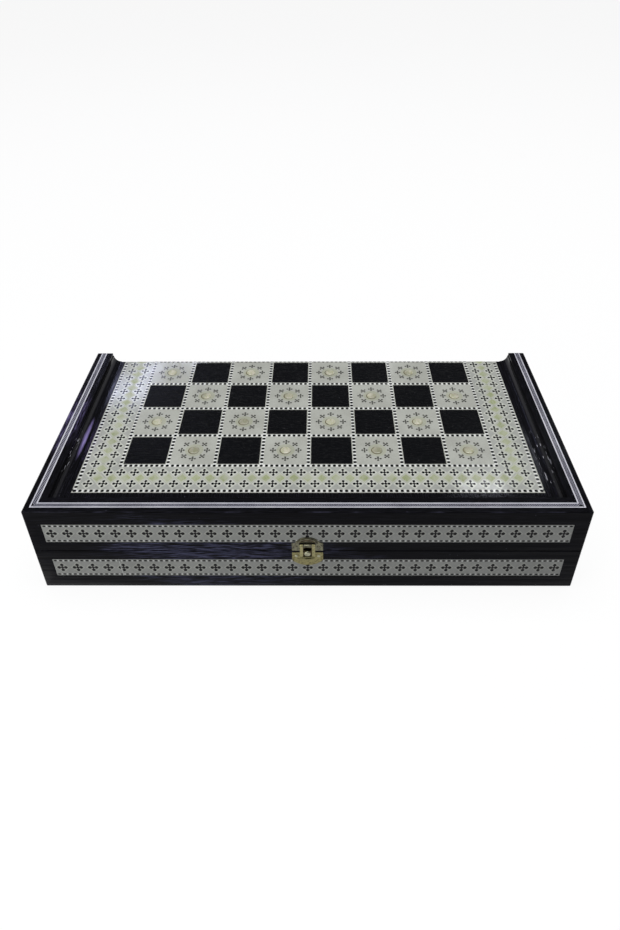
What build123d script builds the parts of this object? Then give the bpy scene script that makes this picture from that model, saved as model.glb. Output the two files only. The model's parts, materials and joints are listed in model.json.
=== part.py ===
from build123d import *
import os
from collections import namedtuple
from math import sqrt

# An inlaid folding board for backgammon and chess: two equal wooden trays, hinged at the back
# and held shut by a small brass latch at the front. Sizes are in millimetres.
# X runs along the long side, the latch faces -Y, the hinges are at +Y and Z is up. The origin
# is under the middle of the shut board, on the surface that it stands on.
# Every piece of the base is drawn where it lies. The lid has the same pieces, mirrored in the
# plane of the seam, with the colours of its squares and points changed over, so that both
# patterns run on across the hinge when the board lies open.

# The chequered field sets the length and depth of the shut board
SQUARE = 45.5              # pitch of the chess squares
COLUMNS = 8                # squares along one half
ROWS = 4                   # squares across one half
BORDER = 37.0              # inlaid border, up to the first line of the squares
MARGIN = 31.0              # from the end faces to the inlaid border
FRONT_EXTRA = 5.0          # the margin along the front is this much wider
LENGTH = COLUMNS * SQUARE + 2 * (BORDER + MARGIN)
DEPTH = ROWS * SQUARE + BORDER + MARGIN + FRONT_EXTRA

# The two trays
HEIGHT = 100.0             # both halves, shut
SEAM_GAP = 0.4             # between the shut halves
WALL = 18.0                # thickness of the walls, and width of the raised rim
RIM = 12.0                 # how far the rim stands above the panel
PANEL = 6.0                # thickness of the panel
TONGUE = 5.5               # how far the panel runs into the walls
TONGUE_GAP = 0.5           # room past the end of the tongue
EDGE_BEVEL = 0.9           # of the outer edges
SEAM_BEVEL = 0.5           # of the edges along the seam
TRAY = (HEIGHT - SEAM_GAP) / 2
FLOOR = RIM + PANEL

# The cove moulding between rim and panel
COVE_RADIUS = 8.0
COVE_LIP = 0.6             # the square edge at each end of the hollow
COVE = COVE_RADIUS + COVE_LIP

# The inlay, let in flush with the wood around it
VENEER = 1.0               # depth of every inlaid piece
LINE_INSET = 5.5           # from the outer faces to the stringing on the rim
LINE = 1.2                 # each plain line of the stringing
ROPE = 3.6                 # the rope line between them
STRIP = 5.0                # dotted strip between the squares
PEARL_DISC = 12.6          # shell disc in each light square, across its corners
PEARL_SIDES = 12           # the discs are drawn with this many sides
PEARL_PROUD = 0.35         # how far the discs stand out
BAND = 22.3                # height of the bands round the walls
BAND_FROM_SEAM = 11.7      # from the middle of the seam to a band
BAND_END = 14.0            # from the end of a wall to the end of its band

# The backgammon field inside
POINTS = 6                 # points at each end of a tray
POINT_GAP = 2.0            # between the feet of two points
MEDALLION = 60.0           # star in the middle, point to point
TIP_GAP = 15.0             # from the star to the tips of the points

# The hinges, let into the seam faces of the back walls
HINGE_SPACING = 300.0      # between the middles of the two hinges
HINGE_LENGTH = 40.0
HINGE_OUT = 0.25           # axis behind the back faces
KNUCKLES = 3
KNUCKLE_GAP = 0.2          # between neighbouring knuckles
KNUCKLE_RADIUS = 2.5
KNUCKLE_ROOM = 0.3         # between a barrel and what it turns beside
HINGE_PIN_RADIUS = 1.0
PIN_FIT = 0.05             # radial room round a pin
LEAF = 1.2                 # thickness of a leaf
LEAF_WIDTH = 16.0          # from the back face into the wall
LEAF_FIT = 0.1             # round the edge of a leaf in its recess
SCREW_RADIUS = 1.2
SCREW_HEAD_RADIUS = 2.3
SCREW_LENGTH = 12.0
SCREW_FIT = 0.05           # radial room round a shank
SCREW_SPACING = 14.0       # along a leaf
SCREW_STAGGER = 4.0        # the middle screw lies this much nearer to the barrel
SCREW_INSET = 5.0          # outer screws, from the front edge of a leaf
FASTENER_SIDES = 8         # the screws and nails, and their holes, are drawn with few sides

# The latch on the front walls
PLATE = 0.8                # thickness of the sheet brass
PLATE_WIDTH = 28.4
PLATE_HEIGHT = 17.2        # each plate, at its middle
PLATE_SIDE = 10.2          # straight side of each plate
PLATE_GAP = 2.3            # between the two plates
PLATE_CORNER = 0.8
ARCH_WIDTH = 22.4          # arched top of the upper plate
EMBOSS = 1.0               # how far the arched ridge stands out
EMBOSS_WIDTH = 2.8         # of the ridge, at its middle
EMBOSS_EDGE = 0.8          # from the ridge to the top of the plate
BARREL_RADIUS = 1.6
BARREL_HEIGHT = 9.3        # axis above the middle of the seam
BARREL_OUT = 1.3           # axis in front of the upper plate
LATCH_PIN_RADIUS = 0.7
HASP_WIDTH = 14.0
HASP_DROP = 8.2            # lower edge, below the middle of the seam
HASP_CLEARANCE = 0.3       # between the hanging hasp and the plates
WINDOW_WIDTH = 8.0         # opening in the hasp
WINDOW_SILL = 2.0          # height of the bar under the opening
LIP_BEND = 0.8             # inner radius of the curled finger lip
LIP = 0.8                  # straight edge past the curl
SLOT_ROOM = 0.3            # round the hasp's knuckles, in the slots of the upper plate
BARREL_GAP = 0.2           # between the plate's knuckle and those of the hasp
TONGUE_WIDTH = 4.4         # catch tongue, bent out of the lower plate
TONGUE_THICK = 1.2
KNOB_RADIUS = 2.75
KNOB_RISE = 1.5            # middle of the knob, above the middle of the seam
KNOB_BACK = 2.4            # back of the knob, in front of the plates
KNOB_FRONT = 4.8           # front of the knob, in front of the plates
KNOB_BEVEL = 1.2           # round the knob's front
NAIL_SPREAD = 20.4         # between the two nails of a plate
NAIL_INSET = 4.6           # from the gap between the plates
NAIL_RADIUS = 0.6
NAIL_HEAD_RADIUS = 1.5
NAIL_HEAD = 0.7
NAIL_HEAD_BEVEL = 0.5      # round the head
NAIL_LENGTH = 9.0
NAIL_FIT = 0.05

MIDDLE = HEIGHT / 2
SEAM = Plane.XY.offset(MIDDLE)
UP = Vector(0, 0, 1)
HALVES = ("base", "lid")

# The three sides with a rim: which way each faces, how far out it stands and how long it is
Side = namedtuple("Side", "name outward reach run")
SIDES = (
    Side("front", Vector(0, -1, 0), DEPTH / 2, LENGTH),
    Side("left", Vector(-1, 0, 0), LENGTH / 2, DEPTH),
    Side("right", Vector(1, 0, 0), LENGTH / 2, DEPTH),
)
ENDS = {"left": -1, "right": 1}

os.makedirs("parts", exist_ok=True)


def save(piece, name):
    """Name a finished piece and write it as a node of its own."""
    piece.part.label = name
    export_step(piece.part, f"parts/{name}.step")


def place(half):
    """Leave a base piece where it is drawn, and mirror a lid piece in the seam."""
    if half == "lid":
        mirror(about=SEAM, mode=Mode.REPLACE)


def open_rectangle(inset, mode=Mode.ADD):
    """Draw the plan of a half, drawn in at the front and both ends but not at the hinge edge."""
    with Locations((0, DEPTH / 2)):
        Rectangle(LENGTH - 2 * inset, DEPTH - inset, align=(Align.CENTER, Align.MAX), mode=mode)


def inlay_outline(inset, mode=Mode.ADD):
    """Draw the inlaid field, drawn in at the front and both ends but not at the hinge edge."""
    with Locations((0, DEPTH / 2)):
        Rectangle(COLUMNS * SQUARE + 2 * (BORDER - inset), ROWS * SQUARE + BORDER - inset,
                  align=(Align.CENTER, Align.MAX), mode=mode)


def horseshoe(outer, inner):
    """Draw the plan between two insets: a U along the front and both ends."""
    open_rectangle(outer)
    open_rectangle(inner, mode=Mode.SUBTRACT)


def strip(side, outer, inner):
    """Draw the plan of a straight piece along one side, mitred at the front corners."""
    x_outer, y_outer = LENGTH / 2 - outer, outer - DEPTH / 2
    x_inner, y_inner = LENGTH / 2 - inner, inner - DEPTH / 2
    if side.name == "front":
        corners = ((-x_outer, y_outer), (x_outer, y_outer), (x_inner, y_inner), (-x_inner, y_inner))
    else:
        sign = side.outward.X
        corners = ((sign * x_outer, y_outer), (sign * x_inner, y_inner),
                   (sign * x_inner, DEPTH / 2), (sign * x_outer, DEPTH / 2))
    Polygon(*corners, align=None)


def face_plane(side):
    """Give the plane of a side's outer face, with X along the side and Y up."""
    return Plane(side.outward * side.reach, x_dir=UP.cross(side.outward), z_dir=side.outward)


def section_plane(side):
    """Give the plane that cuts a side square across, with X outwards and Y up."""
    return Plane((0, 0, 0), x_dir=side.outward, z_dir=side.outward.cross(UP))


def band_outline(side):
    """Draw the inlaid band on the face of a side."""
    with Locations((0, MIDDLE - BAND_FROM_SEAM - BAND / 2)):
        Rectangle(side.run - 2 * BAND_END, BAND)


def fastener_outlines(radius, places, mode=Mode.ADD):
    """Draw the outlines of screws or nails, with the radius measured to their flats."""
    with Locations(*places):
        RegularPolygon(radius, FASTENER_SIDES, major_radius=False, mode=mode)


def countersunk_screw(fit):
    """Make a screw, point down with its head level with the origin, or with a fit the room for it."""
    head = SCREW_HEAD_RADIUS - SCREW_RADIUS
    with BuildPart() as form:
        with BuildSketch(Plane.XY.offset(-head)):
            fastener_outlines(SCREW_HEAD_RADIUS + fit, [(0, 0)])
        extrude(amount=2 * head)
        chamfer(edges().group_by(Axis.Z)[0], head)
        split(bisect_by=Plane.XY, keep=Keep.BOTTOM)
        with BuildSketch():
            fastener_outlines(SCREW_RADIUS + fit, [(0, 0)])
        extrude(amount=-SCREW_LENGTH)
    return form.part


def pearl_outlines(remainder, mode=Mode.ADD):
    """Draw the discs in the middles of the squares that tile_centres gives."""
    with Locations(*tile_centres(remainder)):
        RegularPolygon(PEARL_DISC / 2, PEARL_SIDES, mode=mode)


def tile_centres(remainder):
    """Give the centres of the squares whose column and row add up to an even or odd number."""
    first_x = -(COLUMNS - 1) / 2 * SQUARE
    first_y = DEPTH / 2 - (ROWS - 0.5) * SQUARE
    return [
        (first_x + column * SQUARE, first_y + row * SQUARE)
        for column in range(COLUMNS)
        for row in range(ROWS)
        if (column + row) % 2 == remainder
    ]


# The outer form of one tray, with its edges eased, from which the walls are cut
with BuildPart() as tray_form:
    with BuildSketch():
        open_rectangle(0)
    extrude(amount=TRAY)
    chamfer(edges().filter_by(Axis.Z).group_by(Axis.Y)[0], EDGE_BEVEL)
    chamfer(faces().sort_by(Axis.Z)[0].edges().sort_by(Axis.Y)[:-1], EDGE_BEVEL)
    chamfer(faces().sort_by(Axis.Z)[-1].edges().sort_by(Axis.Y)[:-1], SEAM_BEVEL)

# Places of the small fasteners and of the turning axes, which the walls are cut for
LEAF_FRONT = DEPTH / 2 - LEAF_WIDTH
HINGE_Y = DEPTH / 2 + HINGE_OUT
HINGE_CENTRES = {end: sign * HINGE_SPACING / 2 for end, sign in ENDS.items()}
SCREW_PLACES = {
    end: [(centre + step * SCREW_SPACING,
           LEAF_FRONT + SCREW_INSET + (1 - abs(step)) * SCREW_STAGGER, TRAY) for step in (-1, 0, 1)]
    for end, centre in HINGE_CENTRES.items()
}
screw = countersunk_screw(0)
screw_room = countersunk_screw(SCREW_FIT)
PLATE_FOOT = MIDDLE - PLATE_GAP / 2
NAIL_PLACES = [(sign * NAIL_SPREAD / 2, PLATE_FOOT - NAIL_INSET) for sign in ENDS.values()]

# The wooden trays
for half in HALVES:
    for side in SIDES:
        with BuildPart() as wall:
            with BuildSketch():
                strip(side, 0, WALL)
            extrude(amount=TRAY)
            add(tray_form.part, mode=Mode.INTERSECT)
            with BuildSketch(Plane.XY.offset(RIM)):
                open_rectangle(WALL - TONGUE - TONGUE_GAP)
            extrude(amount=PANEL, mode=Mode.SUBTRACT)
            with BuildSketch():
                horseshoe(LINE_INSET, LINE_INSET + 2 * LINE + ROPE)
            extrude(amount=VENEER, mode=Mode.SUBTRACT)
            with BuildSketch(face_plane(side)):
                band_outline(side)
            extrude(amount=-VENEER, mode=Mode.SUBTRACT)
            if side.name == "front":
                with BuildSketch(face_plane(side)):
                    fastener_outlines(NAIL_RADIUS + NAIL_FIT, NAIL_PLACES)
                extrude(amount=-NAIL_LENGTH, mode=Mode.SUBTRACT)
            place(half)
        save(wall, f"{half}_{side.name}_wall")

    # The back wall stands on the panel between the end walls, and carries the hinges
    with BuildPart() as back_wall:
        with BuildSketch(Plane.XY.offset(FLOOR)):
            with Locations((0, (DEPTH - WALL) / 2)):
                Rectangle(LENGTH - 2 * WALL, WALL)
        extrude(amount=TRAY - FLOOR)
        with BuildSketch(Plane.XY.offset(TRAY - LEAF)):
            for centre in HINGE_CENTRES.values():
                with Locations((centre, (LEAF_FRONT - LEAF_FIT + HINGE_Y) / 2)):
                    Rectangle(HINGE_LENGTH + 2 * LEAF_FIT, HINGE_Y - LEAF_FRONT + LEAF_FIT)
        extrude(amount=LEAF, mode=Mode.SUBTRACT)
        for centre in HINGE_CENTRES.values():
            with BuildSketch(Plane.YZ.offset(centre)):
                with Locations((HINGE_Y, MIDDLE)):
                    Circle(KNUCKLE_RADIUS + KNUCKLE_ROOM)
            extrude(amount=HINGE_LENGTH / 2 + LEAF_FIT, both=True, mode=Mode.SUBTRACT)
        with Locations(*SCREW_PLACES["left"], *SCREW_PLACES["right"]):
            add(screw_room, mode=Mode.SUBTRACT)
        place(half)
    save(back_wall, f"{half}_back_wall")

    # The panel's outer face is sunk for the inlay as far as the hinge edge
    with BuildPart() as panel:
        with BuildSketch(Plane.XY.offset(RIM)):
            open_rectangle(WALL - TONGUE)
        extrude(amount=PANEL)
        with BuildSketch(Plane.XY.offset(RIM)):
            inlay_outline(0)
        extrude(amount=VENEER, mode=Mode.SUBTRACT)
        place(half)
    save(panel, f"{half}_panel")

# The cove moulding, one mitred length along each wall that has a rim
for half in HALVES:
    for side in SIDES:
        with BuildPart() as cove:
            with BuildSketch(Plane.XY.offset(RIM - COVE)):
                strip(side, WALL, WALL + COVE)
            extrude(amount=COVE)
            with BuildSketch(section_plane(side)):
                with Locations((side.reach - WALL - COVE, RIM - COVE)):
                    Circle(COVE_RADIUS)
            extrude(amount=side.run / 2, both=True, mode=Mode.SUBTRACT)
            place(half)
        save(cove, f"{half}_cove_{side.name}")

# The inlay on the outside
for half in HALVES:
    light = 1 if half == "lid" else 0
    with BuildPart() as rim_stringing:
        with BuildSketch():
            horseshoe(LINE_INSET, LINE_INSET + 2 * LINE + ROPE)
        extrude(amount=VENEER)
        place(half)
    save(rim_stringing, f"{half}_rim_stringing")

    with BuildPart() as border_frieze:
        with BuildSketch(Plane.XY.offset(RIM)):
            inlay_outline(0)
            inlay_outline(BORDER - STRIP / 2, mode=Mode.SUBTRACT)
        extrude(amount=VENEER)
        place(half)
    save(border_frieze, f"{half}_border_frieze")

    with BuildPart() as square_stringing:
        with BuildSketch(Plane.XY.offset(RIM)):
            inlay_outline(BORDER - STRIP / 2)
            with Locations(*tile_centres(0), *tile_centres(1)):
                Rectangle(SQUARE - STRIP, SQUARE - STRIP, mode=Mode.SUBTRACT)
        extrude(amount=VENEER)
        place(half)
    save(square_stringing, f"{half}_square_stringing")

    with BuildPart() as dark_squares:
        with BuildSketch(Plane.XY.offset(RIM)):
            with Locations(*tile_centres(1 - light)):
                Rectangle(SQUARE - STRIP, SQUARE - STRIP)
        extrude(amount=VENEER)
        place(half)
    save(dark_squares, f"{half}_dark_squares")

    with BuildPart() as light_squares:
        with BuildSketch(Plane.XY.offset(RIM)):
            with Locations(*tile_centres(light)):
                Rectangle(SQUARE - STRIP, SQUARE - STRIP)
            pearl_outlines(light, mode=Mode.SUBTRACT)
        extrude(amount=VENEER)
        place(half)
    save(light_squares, f"{half}_light_squares")

    with BuildPart() as pearl_discs:
        with BuildSketch(Plane.XY.offset(RIM - PEARL_PROUD)):
            pearl_outlines(light)
        extrude(amount=PEARL_PROUD + VENEER)
        place(half)
    save(pearl_discs, f"{half}_pearl_discs")

    for side in SIDES:
        with BuildPart() as band:
            with BuildSketch(face_plane(side)):
                band_outline(side)
            extrude(amount=-VENEER)
            place(half)
        save(band, f"{half}_{side.name}_band")

# The backgammon field inside each tray: a thin floor with the points and a star let into it
FIELD_X = LENGTH / 2 - WALL
FIELD_Y = DEPTH / 2 - WALL
POINT_PITCH = 2 * FIELD_Y / POINTS
POINT_LENGTH = FIELD_X - MEDALLION / 2 - TIP_GAP


def draw_points(remainder, mode=Mode.ADD):
    """Draw every second point, so that those that face each other differ in colour."""
    half_foot = (POINT_PITCH - POINT_GAP) / 2
    for first, sign in enumerate(ENDS.values()):
        for index in range(POINTS):
            if (index + first) % 2 == remainder:
                y = (index - (POINTS - 1) / 2) * POINT_PITCH
                foot, tip = sign * FIELD_X, sign * (FIELD_X - POINT_LENGTH)
                Polygon((foot, y - half_foot), (foot, y + half_foot), (tip, y),
                        align=None, mode=mode)


def draw_star(mode=Mode.ADD):
    """Draw the eight-pointed star: two squares, one turned by half a right angle."""
    for angle in (0, 45):
        Rectangle(MEDALLION / sqrt(2), MEDALLION / sqrt(2), rotation=angle, mode=mode)


for half in HALVES:
    light = 0 if half == "lid" else 1
    with BuildPart() as field_veneer:
        with BuildSketch(Plane.XY.offset(FLOOR)):
            Rectangle(2 * FIELD_X, 2 * FIELD_Y)
            draw_points(0, mode=Mode.SUBTRACT)
            draw_points(1, mode=Mode.SUBTRACT)
            draw_star(mode=Mode.SUBTRACT)
        extrude(amount=VENEER)
        place(half)
    save(field_veneer, f"{half}_field_veneer")

    for colour, remainder in (("light", light), ("dark", 1 - light)):
        with BuildPart() as points:
            with BuildSketch(Plane.XY.offset(FLOOR)):
                draw_points(remainder)
            extrude(amount=VENEER)
            place(half)
        save(points, f"{half}_{colour}_points")

    with BuildPart() as medallion:
        with BuildSketch(Plane.XY.offset(FLOOR)):
            draw_star()
        extrude(amount=VENEER)
        place(half)
    save(medallion, f"{half}_medallion")

# The hinges: the base leaf has the odd knuckles and the lid leaf the even ones
KNUCKLE = HINGE_LENGTH / KNUCKLES
LEAF_BACK = HINGE_Y - KNUCKLE_RADIUS - KNUCKLE_ROOM

for end, centre in HINGE_CENTRES.items():
    for first, half in enumerate(HALVES):
        knuckle_middles = [centre + (step + 0.5 - KNUCKLES / 2) * KNUCKLE
                           for step in range(first, KNUCKLES, 2)]
        with BuildPart() as leaf:
            with BuildSketch(Plane.XY.offset(TRAY - LEAF)):
                with Locations((centre, (LEAF_FRONT + LEAF_BACK) / 2)):
                    Rectangle(HINGE_LENGTH, LEAF_BACK - LEAF_FRONT)
                with Locations(*[(x, (LEAF_FRONT + HINGE_Y) / 2) for x in knuckle_middles]):
                    Rectangle(KNUCKLE - KNUCKLE_GAP, HINGE_Y - LEAF_FRONT)
            extrude(amount=LEAF)
            for x in knuckle_middles:
                with BuildSketch(Plane.YZ.offset(x)):
                    with Locations((HINGE_Y, MIDDLE)):
                        Circle(KNUCKLE_RADIUS)
                extrude(amount=(KNUCKLE - KNUCKLE_GAP) / 2, both=True)
            with BuildSketch(Plane.YZ.offset(centre)):
                with Locations((HINGE_Y, MIDDLE)):
                    Circle(HINGE_PIN_RADIUS + PIN_FIT)
            extrude(amount=HINGE_LENGTH / 2, both=True, mode=Mode.SUBTRACT)
            with Locations(*SCREW_PLACES[end]):
                add(screw_room, mode=Mode.SUBTRACT)
            place(half)
        save(leaf, f"hinge_{end}_{half}_leaf")

    with BuildPart() as hinge_pin:
        with BuildSketch(Plane.YZ.offset(centre)):
            with Locations((HINGE_Y, MIDDLE)):
                Circle(HINGE_PIN_RADIUS)
        extrude(amount=HINGE_LENGTH / 2, both=True)
    save(hinge_pin, f"hinge_{end}_pin")

for half in HALVES:
    with BuildPart() as hinge_screws:
        with Locations(*SCREW_PLACES["left"], *SCREW_PLACES["right"]):
            add(screw)
        place(half)
    save(hinge_screws, f"hinge_screws_{half}")

# The latch. Its plates lie on the front faces, and the hasp hangs over a knob on the lower one
LATCH_FACE = face_plane(SIDES[0])
LATCH_SECTION = section_plane(SIDES[0])
PLATE_FRONT = DEPTH / 2 + PLATE
PLATE_TOP = MIDDLE + PLATE_GAP / 2
BARREL_X = PLATE_FRONT + BARREL_OUT
BARREL_Z = MIDDLE + BARREL_HEIGHT
HASP_BACK = PLATE_FRONT + HASP_CLEARANCE
HASP_FOOT = MIDDLE - HASP_DROP
HASP_BAR = (HASP_WIDTH - WINDOW_WIDTH) / 2
HASP_BAR_MIDDLES = [sign * (HASP_WIDTH - HASP_BAR) / 2 for sign in ENDS.values()]

with BuildPart() as upper_plate:
    with BuildSketch(LATCH_FACE):
        with BuildLine():
            shoulder = PLATE_TOP + PLATE_SIDE
            arch = ThreePointArc((ARCH_WIDTH / 2, shoulder), (0, PLATE_TOP + PLATE_HEIGHT),
                                 (-ARCH_WIDTH / 2, shoulder))
            Polyline(arch @ 1, (-PLATE_WIDTH / 2, shoulder), (-PLATE_WIDTH / 2, PLATE_TOP),
                     (PLATE_WIDTH / 2, PLATE_TOP), (PLATE_WIDTH / 2, shoulder), arch @ 0)
        make_face()
        fillet(vertices().group_by(Axis.X)[0] + vertices().group_by(Axis.X)[-1], PLATE_CORNER)
        upper_places = [(x, HEIGHT - z) for x, z in NAIL_PLACES]
        fastener_outlines(NAIL_RADIUS + NAIL_FIT, upper_places, mode=Mode.SUBTRACT)
        with Locations(*[(x, BARREL_Z) for x in HASP_BAR_MIDDLES]):
            Rectangle(HASP_BAR + 2 * SLOT_ROOM, 2 * (BARREL_RADIUS + SLOT_ROOM), mode=Mode.SUBTRACT)
    extrude(amount=PLATE)
    with BuildSketch(LATCH_FACE.offset(PLATE)):
        with BuildLine():
            crown = PLATE_TOP + PLATE_HEIGHT - EMBOSS_EDGE
            reach = ARCH_WIDTH / 2 - 2 * EMBOSS_EDGE
            ThreePointArc((reach, shoulder), (0, crown), (-reach, shoulder))
            ThreePointArc((reach, shoulder), (0, crown - EMBOSS_WIDTH), (-reach, shoulder))
        make_face()
    extrude(amount=EMBOSS)
    with BuildSketch(Plane.YZ):
        with Locations((-BARREL_X, BARREL_Z)):
            Circle(BARREL_RADIUS)
    extrude(amount=WINDOW_WIDTH / 2 - BARREL_GAP, both=True)
    with BuildSketch(Plane.YZ):
        with Locations((-BARREL_X, BARREL_Z)):
            Circle(LATCH_PIN_RADIUS + PIN_FIT)
    extrude(amount=HASP_WIDTH / 2, both=True, mode=Mode.SUBTRACT)
save(upper_plate, "latch_upper_plate")

with BuildPart() as hasp:
    lip_z = HASP_FOOT + PLATE + LIP_BEND
    with BuildSketch(LATCH_FACE.offset(HASP_BACK - DEPTH / 2)):
        with Locations((0, (BARREL_Z + lip_z) / 2)):
            Rectangle(HASP_WIDTH, BARREL_Z - lip_z)
        with Locations((0, (BARREL_Z + HASP_FOOT + WINDOW_SILL) / 2)):
            Rectangle(WINDOW_WIDTH, BARREL_Z - HASP_FOOT - WINDOW_SILL, mode=Mode.SUBTRACT)
    extrude(amount=PLATE)
    with BuildSketch(LATCH_SECTION):
        with BuildLine():
            bend = HASP_BACK + PLATE + LIP_BEND
            outer = RadiusArc((HASP_BACK, lip_z), (bend, HASP_FOOT), -(PLATE + LIP_BEND))
            inner = RadiusArc((HASP_BACK + PLATE, lip_z), (bend, HASP_FOOT + PLATE), -LIP_BEND)
            Polyline(outer @ 1, (bend + LIP, HASP_FOOT), (bend + LIP, HASP_FOOT + PLATE), inner @ 1)
            Line(outer @ 0, inner @ 0)
        make_face()
    extrude(amount=HASP_WIDTH / 2, both=True)
    for x in HASP_BAR_MIDDLES:
        with BuildSketch(Plane.YZ.offset(x)):
            with Locations((-BARREL_X, BARREL_Z)):
                Circle(BARREL_RADIUS)
        extrude(amount=HASP_BAR / 2, both=True)
    with BuildSketch(Plane.YZ):
        with Locations((-BARREL_X, BARREL_Z)):
            Circle(LATCH_PIN_RADIUS + PIN_FIT)
    extrude(amount=HASP_WIDTH / 2, both=True, mode=Mode.SUBTRACT)
save(hasp, "latch_hasp")

with BuildPart() as latch_pin:
    with BuildSketch(Plane.YZ):
        with Locations((-BARREL_X, BARREL_Z)):
            Circle(LATCH_PIN_RADIUS)
    extrude(amount=HASP_WIDTH / 2, both=True)
save(latch_pin, "latch_pin")

with BuildPart() as catch_plate:
    with BuildSketch(LATCH_FACE):
        with BuildLine():
            shoulder = PLATE_FOOT - PLATE_SIDE
            belly = ThreePointArc((PLATE_WIDTH / 2, shoulder), (0, PLATE_FOOT - PLATE_HEIGHT),
                                  (-PLATE_WIDTH / 2, shoulder))
            Polyline(belly @ 1, (-PLATE_WIDTH / 2, PLATE_FOOT), (PLATE_WIDTH / 2, PLATE_FOOT), belly @ 0)
        make_face()
        fillet(vertices().group_by(Axis.Y)[-1], PLATE_CORNER)
        fastener_outlines(NAIL_RADIUS + NAIL_FIT, NAIL_PLACES, mode=Mode.SUBTRACT)
    extrude(amount=PLATE)
    # The tongue runs straight out of the plate's upper edge and turns up behind the knob
    with BuildSketch(LATCH_SECTION):
        back = PLATE_FRONT + KNOB_BACK
        tongue_top = MIDDLE + KNOB_RISE + KNOB_RADIUS / 2
        Polygon((PLATE_FRONT, PLATE_FOOT), (PLATE_FRONT, PLATE_FOOT - TONGUE_THICK),
                (back, PLATE_FOOT - TONGUE_THICK), (back, tongue_top),
                (back - TONGUE_THICK, tongue_top), (back - TONGUE_THICK, PLATE_FOOT), align=None)
    extrude(amount=TONGUE_WIDTH / 2, both=True)
    with BuildSketch(LATCH_FACE.offset(PLATE + KNOB_BACK)):
        with Locations((0, MIDDLE + KNOB_RISE)):
            Circle(KNOB_RADIUS)
    extrude(amount=KNOB_FRONT - KNOB_BACK)
    chamfer(edges().group_by(Axis.Y)[0], KNOB_BEVEL)
save(catch_plate, "latch_catch_plate")

for half in HALVES:
    with BuildPart() as latch_nails:
        with BuildSketch(LATCH_FACE.offset(PLATE)):
            fastener_outlines(NAIL_HEAD_RADIUS, NAIL_PLACES)
        extrude(amount=NAIL_HEAD)
        chamfer(edges().group_by(Axis.Y)[0], NAIL_HEAD_BEVEL)
        with BuildSketch(LATCH_FACE.offset(PLATE)):
            fastener_outlines(NAIL_RADIUS, NAIL_PLACES)
        extrude(amount=-(PLATE + NAIL_LENGTH))
        place(half)
    save(latch_nails, f"latch_nails_{half}")
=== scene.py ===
"""Dress a folding, inlaid board for backgammon and chess, and light it for a studio picture.

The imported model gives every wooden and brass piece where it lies. This script lays the marquetry
on it as thin closed slips, turns and moulds the small rounded pieces, and gives every surface its
finish. Lengths are in metres in the model's own frame: X along the board, the latch towards -Y,
the hinges at +Y and Z up. Finishes work in millimetres, from Object coordinates.
"""

from __future__ import annotations

import json
import logging
import math
from dataclasses import dataclass, replace
from enum import Enum
from typing import Callable, Sequence

import bmesh
import bpy
import numpy as np
from mathutils import Euler, Matrix, Vector
from numpy.typing import ArrayLike

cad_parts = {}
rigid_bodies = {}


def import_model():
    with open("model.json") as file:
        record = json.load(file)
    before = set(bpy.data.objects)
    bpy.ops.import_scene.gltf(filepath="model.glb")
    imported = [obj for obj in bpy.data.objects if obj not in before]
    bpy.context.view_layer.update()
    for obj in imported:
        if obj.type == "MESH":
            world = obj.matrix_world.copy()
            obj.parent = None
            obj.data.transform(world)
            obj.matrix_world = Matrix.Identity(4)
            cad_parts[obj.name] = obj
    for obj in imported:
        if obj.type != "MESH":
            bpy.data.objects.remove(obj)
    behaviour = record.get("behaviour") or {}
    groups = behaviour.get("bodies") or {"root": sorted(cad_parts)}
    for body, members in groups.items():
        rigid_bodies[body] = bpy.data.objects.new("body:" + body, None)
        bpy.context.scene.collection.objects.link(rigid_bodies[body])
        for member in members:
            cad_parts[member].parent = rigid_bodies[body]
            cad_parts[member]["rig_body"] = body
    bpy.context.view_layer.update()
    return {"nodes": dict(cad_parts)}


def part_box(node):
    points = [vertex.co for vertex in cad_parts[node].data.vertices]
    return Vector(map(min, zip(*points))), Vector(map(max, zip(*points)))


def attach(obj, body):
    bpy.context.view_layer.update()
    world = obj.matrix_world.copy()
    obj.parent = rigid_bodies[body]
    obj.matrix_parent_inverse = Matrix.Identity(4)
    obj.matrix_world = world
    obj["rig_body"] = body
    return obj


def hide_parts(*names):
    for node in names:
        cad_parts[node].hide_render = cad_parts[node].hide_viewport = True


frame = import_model()

LOG = logging.getLogger("games_board")
MM = 0.001
# Points closer than this are one point.
COINCIDE = 0.002 * MM
# The centre of a piece that lies at the origin of its bed.
ALONE = np.zeros((1, 2))
# The angles from which an edge shows as sharp, on sheet work, in hollows and on domes.
CREASE, HOLLOW, ROUND = math.radians(30), math.radians(40), math.radians(50)

Socket = bpy.types.NodeSocket
Triple = tuple[float, float, float]
Colour = Triple


class Half(Enum):
    """The two trays of the board."""

    BASE = "base"
    LID = "lid"

    @property
    def facing(self) -> float:
        """Return 1 for the tray whose outside looks up at rest, and -1 for the other."""
        return 1.0 if self is Half.LID else -1.0


class Side(Enum):
    """The three sides of a tray that carry a rim and a band."""

    FRONT = "front"
    LEFT = "left"
    RIGHT = "right"


class Run(Enum):
    """The axis that a piece of wood runs along, as the share of stretch on X, Y and Z."""

    ALONG_X = (1, 0, 0)
    ALONG_Y = (0, 1, 0)


# Shader trees


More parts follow.
